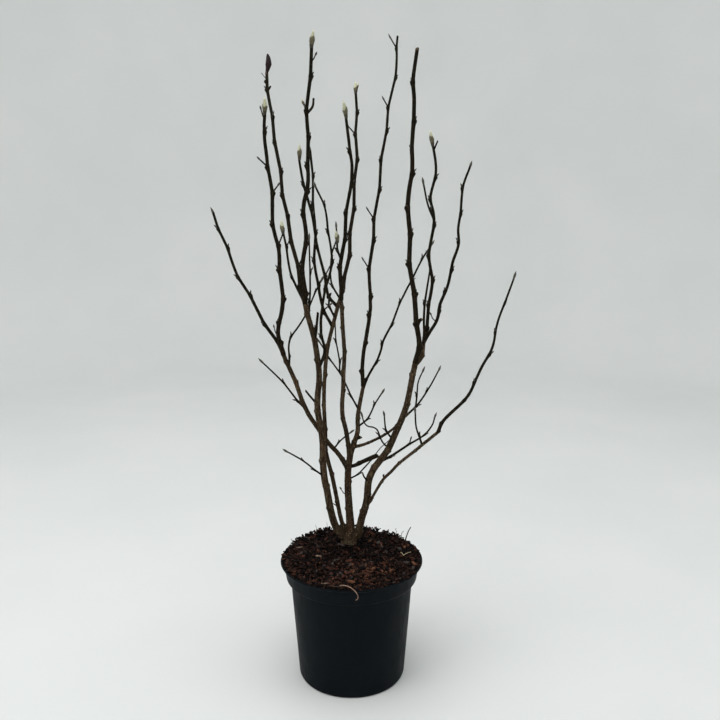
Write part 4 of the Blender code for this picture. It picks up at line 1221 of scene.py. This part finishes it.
def softened(profile, reach):
    """Return a profile with its corners rounded by short arcs, and the walls between split up."""
    rounded = [profile[0]]
    for before, corner, after in zip(profile, profile[1:], profile[2:]):
        before, corner, after = (np.array(spot) for spot in (before, corner, after))
        back = before - corner
        ahead = after - corner
        step = min(reach, 0.35 * np.linalg.norm(back), 0.35 * np.linalg.norm(ahead))
        start = corner + back / np.linalg.norm(back) * step
        end = corner + ahead / np.linalg.norm(ahead) * step
        for share in (0.0, 0.25, 0.5, 0.75, 1.0):
            inner = 2 * share * (1 - share) * corner
            rounded.append(tuple((1 - share) ** 2 * start + inner + share ** 2 * end))
    rounded.append(profile[-1])
    split = [rounded[0]]
    for low, high in zip(rounded, rounded[1:]):
        parts = max(1, int(math.dist(low, high) / (0.9 * CM)))
        for part in range(1, parts + 1):
            split.append(tuple(np.array(low) + (np.array(high) - np.array(low)) * part / parts))
    return split


def build_pot():
    """Make the pot, thin-walled and a little out of true, with its drain holes."""
    profile = softened(pot_profile(), 1.2 * MM)
    angles = turn_of(POT_SIDES)
    rings = []
    for radius, height in profile[1:-1]:
        out = radius * (1 + 0.004 * np.sin(2 * angles + 0.7) * height / POT_HEIGHT
                        + 0.0015 * np.sin(5 * angles + 30 * height))
        rings.append(circle(out, angles, height))
    shell = np.concatenate(rings + [np.array([[0, 0, 0], [0, 0, POT_WALL]])])
    wall, under, floor = tube_faces(len(rings), POT_SIDES)
    pot = Joined()
    pot.add(shell, (wall, 0), (under, 0), (floor, 0))
    thing = pot.build("nursery_pot", [black_plastic()])
    holes = Joined()
    for hole in range(DRAIN_HOLES):
        angle = 2 * math.pi * (hole + 0.5) / DRAIN_HOLES
        place = np.array((DRAIN_CIRCLE * math.cos(angle), DRAIN_CIRCLE * math.sin(angle), 0))
        points = place + np.outer((-1 * CM, 1 * CM), (0, 0, 1))
        around, _ = around_line(points, 28)
        add_tube(holes, points, around, np.full(2, DRAIN_RADIUS))
    cutter = holes.build("drain_cutter", [])
    drill = thing.modifiers.new("drain", "BOOLEAN")
    drill.object = cutter
    drill.operation = "DIFFERENCE"
    drill.solver = "EXACT"
    apply_modifiers(thing)
    bpy.data.objects.remove(cutter)
    thing.data.shade_smooth()
    thing.data.set_sharp_from_angle(angle=math.radians(40))
    settle(thing, ["pot"])


# Compost


CHIP_TONES = (
    ("chip_black", (0.0014, 0.0009, 0.0008), (0.0058, 0.0034, 0.0030)),
    ("chip_dark", (0.0035, 0.0016, 0.0012), (0.0155, 0.0070, 0.0052)),
    ("chip_brown", (0.012, 0.0050, 0.0033), (0.052, 0.024, 0.016)),
    ("chip_red", (0.028, 0.0095, 0.0060), (0.112, 0.043, 0.027)),
    ("chip_orange", (0.060, 0.024, 0.0125), (0.190, 0.085, 0.048)),
    ("chip_grey", (0.020, 0.015, 0.014), (0.082, 0.065, 0.060)),
    ("chip_pale", (0.10, 0.064, 0.048), (0.30, 0.21, 0.16)),
)
CHIP_SHARES = (0.42, 0.29, 0.16, 0.09, 0.008, 0.030, 0.002)
WARM_SHARES = (0.14, 0.16, 0.26, 0.29, 0.126, 0.02, 0.004)
# The tone shares used near the shrub's foot: darker chips there are painted shade under the stems
FOOT_SHADE_SHARES = (0.72, 0.20, 0.05, 0.02, 0.0, 0.01, 0.0)
RIM_SHARES = (0.46, 0.32, 0.13, 0.06, 0.0, 0.03, 0.0)
# How far the painted shade round the shrub's foot reaches
FOOT_SHADE_REACH = 3.4 * CM
WARM_PLACE = np.array((1.8 * CM, -5.0 * CM))
WARM_REACH = 3.9 * CM
CHIPS = 2900
RIM_CHIPS = 760
RIM_PILE = 4 * MM
CRUMBS = 3600
FIBRES = 90
# The lengths of the chips in millimetres: usual, spread of the logarithm, least and most
CHIP_LENGTHS = (7.6, 0.42, 3, 17)
RIM_CHIP_LENGTHS = (5.0, 0.45, 2, 11)

# Single chips that show: place in centimetres, length and width in millimetres, heading in degrees
# from left to right, and tone
SHOWN_CHIPS = (
    ((-5.1, -0.35), 15, 4.5, -8, 6),
    ((-8.3, 2.6), 12, 4.0, 25, 6),
    ((-7.9, 0.3), 11, 5.0, 60, 5),
    ((-3.8, -9.1), 13, 2.6, -3, 6),
    ((-2.9, -2.6), 9, 4.5, 80, 5),
    ((8.4, 3.4), 7, 5.5, 80, 4),
    ((7.5, 2.6), 15, 2.2, -50, 5),
    ((4.2, 3.9), 10, 7.5, 70, 5),
    ((5.0, 8.0), 13, 2.6, 50, 5),
    ((0.1, -8.4), 14, 7, -20, 4),
    ((-0.6, -5.6), 13, 5, 15, 3),
    ((3.3, -4.4), 11, 6, 30, 4),
    ((-2.3, -7.3), 13, 3.5, 60, 3),
    ((5.9, -4.6), 10, 5, 40, 4),
    ((-5.2, -5.2), 9, 4, 70, 5),
    ((2.2, -2.6), 7, 3.0, 100, 5),
)


def soil_height(across, deep):
    """Return the compost's height at a place, or at arrays of places."""
    away = np.hypot(across - FOOT_ACROSS, deep - FOOT_DEPTH)
    heap = np.exp(-(away / SOIL_HEAP_RADIUS) ** 2)
    lumps = np.sin(across / (1.3 * CM) + 1.3 * np.sin(deep / (1.7 * CM))) * np.sin(deep / (1.1 * CM) + 0.6)
    lumps = lumps + 0.5 * np.sin(across / (0.6 * CM) + 2.0) * np.sin(deep / (0.7 * CM) + 1.1)
    towards = (SOIL_RISE_TOWARDS[0] * across + SOIL_RISE_TOWARDS[1] * deep) / POT_LIP_RADIUS
    rise = SOIL_RISE * np.clip(towards, 0, 1) * (1 - heap)
    level = SOIL_EDGE + (SOIL_TOP_AT_FOOT - SOIL_EDGE) * heap + rise
    inside = np.clip((SOIL_RADIUS - np.hypot(across, deep)) / (1.5 * CM), 0, 1)
    return level + SOIL_LUMPS * lumps * np.clip(away / (2 * CM), 0, 1) * inside


def kept_in_pot(points):
    """Lift points that would pass through the pot's lip."""
    points = np.array(points)
    away = np.hypot(points[..., 0], points[..., 1])
    floor = np.interp(away, LIP_FLOOR_RADII, LIP_FLOOR_HEIGHTS)
    points[..., 2] = np.maximum(points[..., 2], floor)
    return points


def build_soil_bed():
    """Make the dark fine compost that the chips lie in."""
    rings, sides = SOIL_RINGS, SOIL_SIDES
    angles = turn_of(sides)
    points = []
    for ring in range(rings):
        radius = SOIL_WALL * (1 - ring / rings)
        for angle in angles:
            across, deep = radius * math.cos(angle), radius * math.sin(angle)
            rough = noise.fractal(Vector((across, deep, 0)) * SOIL_GRAIN, 0.7, 2.0, 4) * SOIL_ROUGHNESS
            rough *= min(1.0, math.hypot(across - FOOT_ACROSS, deep - FOOT_DEPTH) / (2 * CM))
            points.append((across, deep, float(soil_height(across, deep)) + rough - SOIL_BED_DROP))
    points.append((0, 0, float(soil_height(0, 0)) - SOIL_BED_DROP))
    foot = POT_HEIGHT - SOIL_SKIRT_DROP
    low = len(points)
    last = (rings - 1) * sides + np.arange(sides)
    middle = np.stack((last, np.roll(last, -1), np.full(sides, rings * sides)), axis=-1)
    first = np.arange(sides)
    down = np.stack((low + first, low + np.roll(first, -1), np.roll(first, -1), first), axis=-1)
    base = np.stack((low + np.roll(first, -1), low + first, np.full(sides, low + sides)), axis=-1)
    bed = Joined()
    bed.add(np.concatenate((kept_in_pot(points), circle(SOIL_SKIRT, angles, foot), [(0, 0, foot)])),
            (ring_faces(rings, sides), 0), (middle, 0), (down, 0), (base, 0))
    soil = mottled("fine_compost", (0.0018, 0.0012, 0.0010), (0.010, 0.0058, 0.0042), 0.98, 2.2 * MM,
                   bump=0.8, Specular_IOR_Level=0.1)
    bed.build("compost_bed", [soil], ["compost"], "bark_compost")


def flat_frames(spin, normal):
    """Return the three axes of flat things that are turned by spin and face along normal."""
    ahead = circle(1.0, spin)
    ahead = unit(ahead - normal * (ahead * normal).sum(axis=1)[:, None])
    return ahead, np.cross(normal, ahead), normal


def turned_frames(rng, count, tilt):
    """Return random turns for flat things that lie with a tilt, as arrays of three axes."""
    spin = rng.uniform(0, 2 * math.pi, count)
    lean = np.abs(rng.normal(0, tilt, count))
    lean_way = rng.uniform(0, 2 * math.pi, count)
    return flat_frames(spin, circle(np.sin(lean), lean_way, np.cos(lean)))


def scattered(rng, count, reach):
    """Return random places on the compost within a reach of the pot's axis."""
    away = reach * np.sqrt(rng.uniform(0, 1, count))
    angle = rng.uniform(0, 2 * math.pi, count)
    across, deep = away * np.cos(angle), away * np.sin(angle)
    clear = np.hypot(across - FOOT_ACROSS, deep - FOOT_DEPTH) > 1.1 * CM
    return across[clear], deep[clear]


def add_slabs(joined, places, frames, long, wide, thick, tones, rng):
    """Add one irregular six-sided slab at each place."""
    corners = 6
    count = len(places)
    ahead, beside, normal = frames
    angles = turn_of(corners)[None] + rng.uniform(-0.42, 0.42, (count, corners))
    reach = rng.uniform(0.62, 1.12, (count, corners))
    curl = rng.uniform(-0.18, 0.18, count)[:, None]
    layers = []
    for level, shrink in ((-0.5, 1.0), (0.5, 0.9)):
        u = 0.5 * long[:, None] * reach * np.cos(angles) * shrink
        v = 0.5 * wide[:, None] * reach * np.sin(angles) * shrink
        uneven = rng.uniform(-0.12, 0.12, (count, corners))
        w = (level + uneven) * thick[:, None] + 4 * curl * u * u / long[:, None]
        layers.append(places[:, None] + u[..., None] * ahead[:, None] + v[..., None] * beside[:, None]
                      + w[..., None] * normal[:, None])
    for level in (-0.5, 0.55):
        layers.append((places + level * thick[:, None] * normal)[:, None])
    block = kept_in_pot(np.concatenate(layers, axis=1))
    ring = np.arange(corners)
    following = np.roll(ring, -1)
    top = np.stack((corners + ring, corners + following, np.full(corners, 2 * corners + 1)), axis=1)
    low = np.stack((following, ring, np.full(corners, 2 * corners)), axis=1)
    sides_low = np.stack((ring, following, corners + following), axis=1)
    sides_high = np.stack((ring, corners + following, corners + ring), axis=1)
    one = np.concatenate((top, low, sides_low, sides_high))
    first = (2 * corners + 2) * np.arange(count)
    faces = (first[:, None, None] + one[None]).reshape(-1, 3)
    joined.add(block.reshape(-1, 3), (faces, np.repeat(tones, len(one))))


def chip_lengths(rng, count, usual, spread, least, most):
    """Return random lengths for chips."""
    return np.clip(rng.lognormal(math.log(usual), spread, count), least, most) * MM


def chip_tones(rng, across, deep):
    """Deal out the chips' colours: warmer ones lie near the front of the pot, and darker ones round the
    shrub's foot are painted shade under the stems.
    """
    warm = np.exp(-(np.hypot(across - WARM_PLACE[0], deep - WARM_PLACE[1]) / WARM_REACH) ** 2)
    plain = rng.choice(len(CHIP_TONES), len(across), p=CHIP_SHARES)
    warmer = rng.choice(len(CHIP_TONES), len(across), p=WARM_SHARES)
    # Near the shrub's foot the chips are dealt darker tones, as painted shade under the stems
    shaded = rng.choice(len(CHIP_TONES), len(across), p=FOOT_SHADE_SHARES)
    foot_shade = np.exp(-(np.hypot(across - FOOT_ACROSS, deep - FOOT_DEPTH) / FOOT_SHADE_REACH) ** 2)
    tones = np.where(rng.uniform(0, 1, len(across)) < warm, warmer, plain)
    return np.where(rng.uniform(0, 1, len(across)) < foot_shade, shaded, tones)


def build_chips():
    """Strew bark chips and crumbs over the compost."""
    rng = np.random.default_rng(20)
    materials = [mottled(name, dark, light, 0.92, 2.0 * MM, (1, 1, 1), 0.8, Specular_IOR_Level=0.12)
                 for name, dark, light in CHIP_TONES]
    chips = Joined()
    across, deep = scattered(rng, CHIPS, SOIL_RADIUS - 1 * MM)
    count = len(across)
    long = chip_lengths(rng, count, *CHIP_LENGTHS)
    wide = long * rng.uniform(0.26, 0.62, count)
    thick = np.clip(0.16 * long, 0.7 * MM, 1.8 * MM) * rng.uniform(0.7, 1.3, count)
    height = soil_height(across, deep) + rng.uniform(-1.5, 3.0, count) * MM
    places = np.stack((across, deep, height), axis=1)
    frames = turned_frames(rng, count, 0.62)
    add_slabs(chips, places, frames, long, wide, thick, chip_tones(rng, across, deep), rng)
    add_rim_chips(chips, rng)
    add_shown_chips(chips, rng)
    chips.build("bark_chips", materials, (), "bark_compost")
    crumbs = Joined()
    across, deep = scattered(rng, CRUMBS, SOIL_RADIUS + 0.5 * MM)
    count = len(across)
    long = rng.uniform(1.0, 3.4, count) * MM
    places = np.stack((across, deep, soil_height(across, deep) + rng.uniform(-1, 3.4, count) * MM), axis=1)
    tones = chip_tones(rng, across, deep)
    add_slabs(crumbs, places, turned_frames(rng, count, 0.9), long, 0.7 * long, 0.5 * long, tones, rng)
    crumbs.build("bark_crumbs", materials, (), "bark_compost")


def add_rim_chips(chips, rng):
    """Add the dark bits that lie against the pot's lip and stand out over it."""
    away = rng.uniform(SOIL_RADIUS - 7 * MM, SOIL_RADIUS + 1 * MM, RIM_CHIPS)
    angle = rng.uniform(0, 2 * math.pi, RIM_CHIPS)
    across, deep = away * np.cos(angle), away * np.sin(angle)
    long = chip_lengths(rng, RIM_CHIPS, *RIM_CHIP_LENGTHS)
    pile = RIM_PILE * np.clip(np.sin(angle), 0, 1) * rng.uniform(0, 1, RIM_CHIPS)
    height = soil_height(across, deep) + rng.uniform(0.0, 2.8, RIM_CHIPS) * MM + pile
    places = np.stack((across, deep, height), axis=1)
    tones = rng.choice(len(CHIP_TONES), RIM_CHIPS, p=RIM_SHARES)
    wide = long * rng.uniform(0.25, 0.6, RIM_CHIPS)
    add_slabs(chips, places, turned_frames(rng, RIM_CHIPS, 0.8), long, wide, 0.22 * long, tones, rng)


def add_shown_chips(chips, rng):
    """Lay the single chips that show, on top of the rest."""
    spots, lengths, widths, headings, tones = zip(*SHOWN_CHIPS)
    across, deep = np.array(spots).T * CM
    spin = np.radians(headings)
    count = len(spin)
    lean = rng.normal(0, 0.1, count), rng.normal(-0.15, 0.1, count)
    normal = unit(np.stack((*lean, np.ones(count)), axis=1))
    places = np.stack((across, deep, soil_height(across, deep) + 3.6 * MM), axis=1)
    long, wide = np.array(lengths) * MM, np.array(widths) * MM
    thick = 0.2 * wide + 0.6 * MM
    add_slabs(chips, places, flat_frames(spin, normal), long, wide, thick, np.array(tones), rng)


def add_strand(joined, knots, radius, slot, sides=6, taper=0.4):
    """Add a thin strand through knots."""
    line = curve_through([Vector(knot) for knot in knots])
    points = np.array(line)
    around, _ = around_line(points, sides)
    add_tube(joined, points, around, radius * np.linspace(1, taper, len(points)), slot, dome=0.5)


# Strands that stand out on the compost: knots in centimetres, a radius in millimetres, the share
# of it that is left at the tip, and a tone
ROOT_OVER_LIP = (((-1.6, -9.6, 19.0), (-1.0, -10.4, 19.45), (-0.2, -10.95, 19.5), (0.6, -11.25, 19.0),
                  (1.0, -11.3, 18.3), (0.95, -11.0, 17.65), (0.7, -10.7, 17.35)), 0.66, 0.7, 2)
TWIG_AT_RIGHT = (((8.7, 6.4, 18.6), (8.95, 6.6, 19.5), (9.3, 6.7, 20.4), (9.65, 6.8, 21.0)), 1.0, 0.7, 0)
TWIG_AT_LEFT = (((-9.2, 4.4, 18.4), (-9.5, 4.6, 19.2), (-9.85, 4.7, 19.9)), 0.7, 0.5, 0)
STRAWS = (
    (((7.7, 0.7, 19.4), (7.9, 0.1, 19.45), (8.1, -0.5, 19.4)), 0.5, 0.7, 3),
    (((8.0, -0.5, 19.45), (8.7, 0.1, 19.55), (9.3, 0.6, 19.5)), 0.5, 0.5, 3),
    (((-3.0, -9.9, 19.15), (-1.9, -10.3, 19.2), (-0.9, -10.45, 19.25)), 0.6, 0.6, 1),
)
HAIRS = (
    (((-5.6, 7.6, 18.6), (-5.8, 7.8, 20.0), (-6.1, 8.0, 20.9)), 0.35, 0.6, 0),
    (((-4.0, 7.8, 18.6), (-4.1, 8.0, 20.2), (-4.2, 8.0, 21.3)), 0.35, 0.6, 1),
    (((2.2, 7.2, 18.8), (2.3, 7.3, 20.4), (2.1, 7.3, 21.1)), 0.4, 0.5, 0),
    (((7.2, 7.5, 18.6), (7.35, 7.8, 19.7), (7.2, 8.0, 20.1), (7.4, 8.0, 20.3)), 0.4, 0.6, 0),
    (((8.2, 6.6, 18.8), (8.15, 7.0, 19.7), (8.5, 7.1, 20.2)), 0.5, 0.6, 0),
)


def build_fibres():
    """Strew rootlets and straws over the compost, and set the few that stand out."""
    rng = random.Random("fibres")
    strands = Joined()
    for _ in range(FIBRES):
        away = SOIL_RADIUS * math.sqrt(rng.random()) * 0.97
        angle = rng.uniform(0, 2 * math.pi)
        across, deep = away * math.cos(angle), away * math.sin(angle)
        heading = rng.uniform(0, 2 * math.pi)
        knots = []
        for _ in range(5):
            lift = rng.uniform(0.5, 4.5) * MM
            knots.append((across, deep, float(soil_height(across, deep)) + lift))
            heading += rng.uniform(-0.7, 0.7)
            step = rng.uniform(2, 5) * MM
            across += step * math.cos(heading)
            deep += step * math.sin(heading)
            if math.hypot(across, deep) > SOIL_RADIUS:
                heading += 2.4
        add_strand(strands, knots, rng.uniform(0.16, 0.42) * MM, rng.choice((0, 0, 0, 0, 1, 1)))
    for knots, radius, taper, slot in (ROOT_OVER_LIP, TWIG_AT_RIGHT, TWIG_AT_LEFT, *STRAWS, *HAIRS):
        add_strand(strands, [np.array(knot) * CM for knot in knots], radius * MM, slot, 10, taper)
    dull = {"Specular_IOR_Level": 0.2}
    strands.build("rootlets", [
        mottled("root_dark", (0.005, 0.0035, 0.0025), (0.020, 0.014, 0.010), 0.9, 1 * MM, **dull),
        mottled("root_brown", (0.030, 0.016, 0.010), (0.100, 0.058, 0.036), 0.85, 1 * MM, **dull),
        mottled("root_pale", (0.14, 0.070, 0.048), (0.46, 0.31, 0.225), 0.75, 2 * MM),
        mottled("straw", (0.34, 0.27, 0.15), (0.62, 0.52, 0.33), 0.6, 1 * MM),
    ], (), "bark_compost")


# Stage


# The stage in metres: its flat floor, the sweep from floor to wall and the wall's height
FLOOR_RADIUS = 2.3
SWEEP = 0.9
SWEEP_STEPS = 12
WALL_TOP = 3.4
STAGE_SIDES = 96
SKY_COLOUR = (0.93, 0.97, 1.0, 1)
SKY_STRENGTH = 0.68
# Soft lights: name, place, the point that each looks at, size in metres and power in watts
LIGHTS = (
    ("overhead", (-0.3, -0.3, 2.8), (0, 0, 0.3), 2.6, 34),
    ("from_left", (-1.6, -1.2, 1.7), (0, 0, 0.4), 1.4, 12),
    ("from_right", (1.7, -0.6, 1.5), (0, 0, 0.4), 1.2, 4),
)


def build_stage():
    """Make a pale floor that sweeps up into a pale wall all round."""
    joined = Joined()
    rings = [(0.0, radius) for radius in (0.001, 0.3, 0.7, 1.2, 1.8)]
    for step in range(SWEEP_STEPS + 1):
        angle = 0.5 * math.pi * step / SWEEP_STEPS
        rings.append((SWEEP * (1 - math.cos(angle)), FLOOR_RADIUS + SWEEP * math.sin(angle)))
    rings.append((WALL_TOP, FLOOR_RADIUS + SWEEP))
    shell = [circle(radius, turn_of(STAGE_SIDES), height) for height, radius in rings]
    joined.add(np.concatenate(shell), (ring_faces(len(rings), STAGE_SIDES)[:, ::-1], 0))
    pale = Nodes("pale_stage", 0.9)
    blotches = pale.grain(0.5, detail=2)
    pale.colour(pale.ramp(blotches, ((0.3, (0.745, 0.755, 0.74)), (0.7, (0.785, 0.79, 0.775)))))
    floor = joined.build("studio_floor", [pale.material])


def add_area_light(name, place, aim, size, power):
    """Add a square area light that looks at a point."""
    light = bpy.data.lights.new(name, "AREA")
    light.size = size
    light.energy = power
    thing = bpy.data.objects.new(name, light)
    thing.location = place
    thing.rotation_euler = (Vector(aim) - Vector(place)).to_track_quat("-Z", "Y").to_euler()
    bpy.context.scene.collection.objects.link(thing)


def build_light():
    """Light the scene as on an overcast day: broad from above, a little stronger from the left."""
    world = bpy.data.worlds.new("studio")
    world.use_nodes = True
    background = world.node_tree.nodes["Background"]
    background.inputs["Color"].default_value = SKY_COLOUR
    background.inputs["Strength"].default_value = SKY_STRENGTH
    bpy.context.scene.world = world
    for light in LIGHTS:
        add_area_light(*light)


def build_camera():
    """Place the camera where the photo was taken from, with plain unfiltered tones."""
    bpy.context.scene.view_settings.view_transform = "Standard"
    camera = bpy.data.cameras.new("camera")
    camera.lens = CAMERA_LENS
    thing = bpy.data.objects.new("camera", camera)
    thing.location = CAMERA_PLACE
    thing.rotation_euler = (math.radians(90 - CAMERA_PITCH), 0, 0)
    bpy.context.scene.collection.objects.link(thing)
    bpy.context.scene.camera = thing


def main():
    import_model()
    build_pot()
    build_soil_bed()
    build_chips()
    build_fibres()
    build_plant()
    build_stage()
    build_light()
    build_camera()


main()
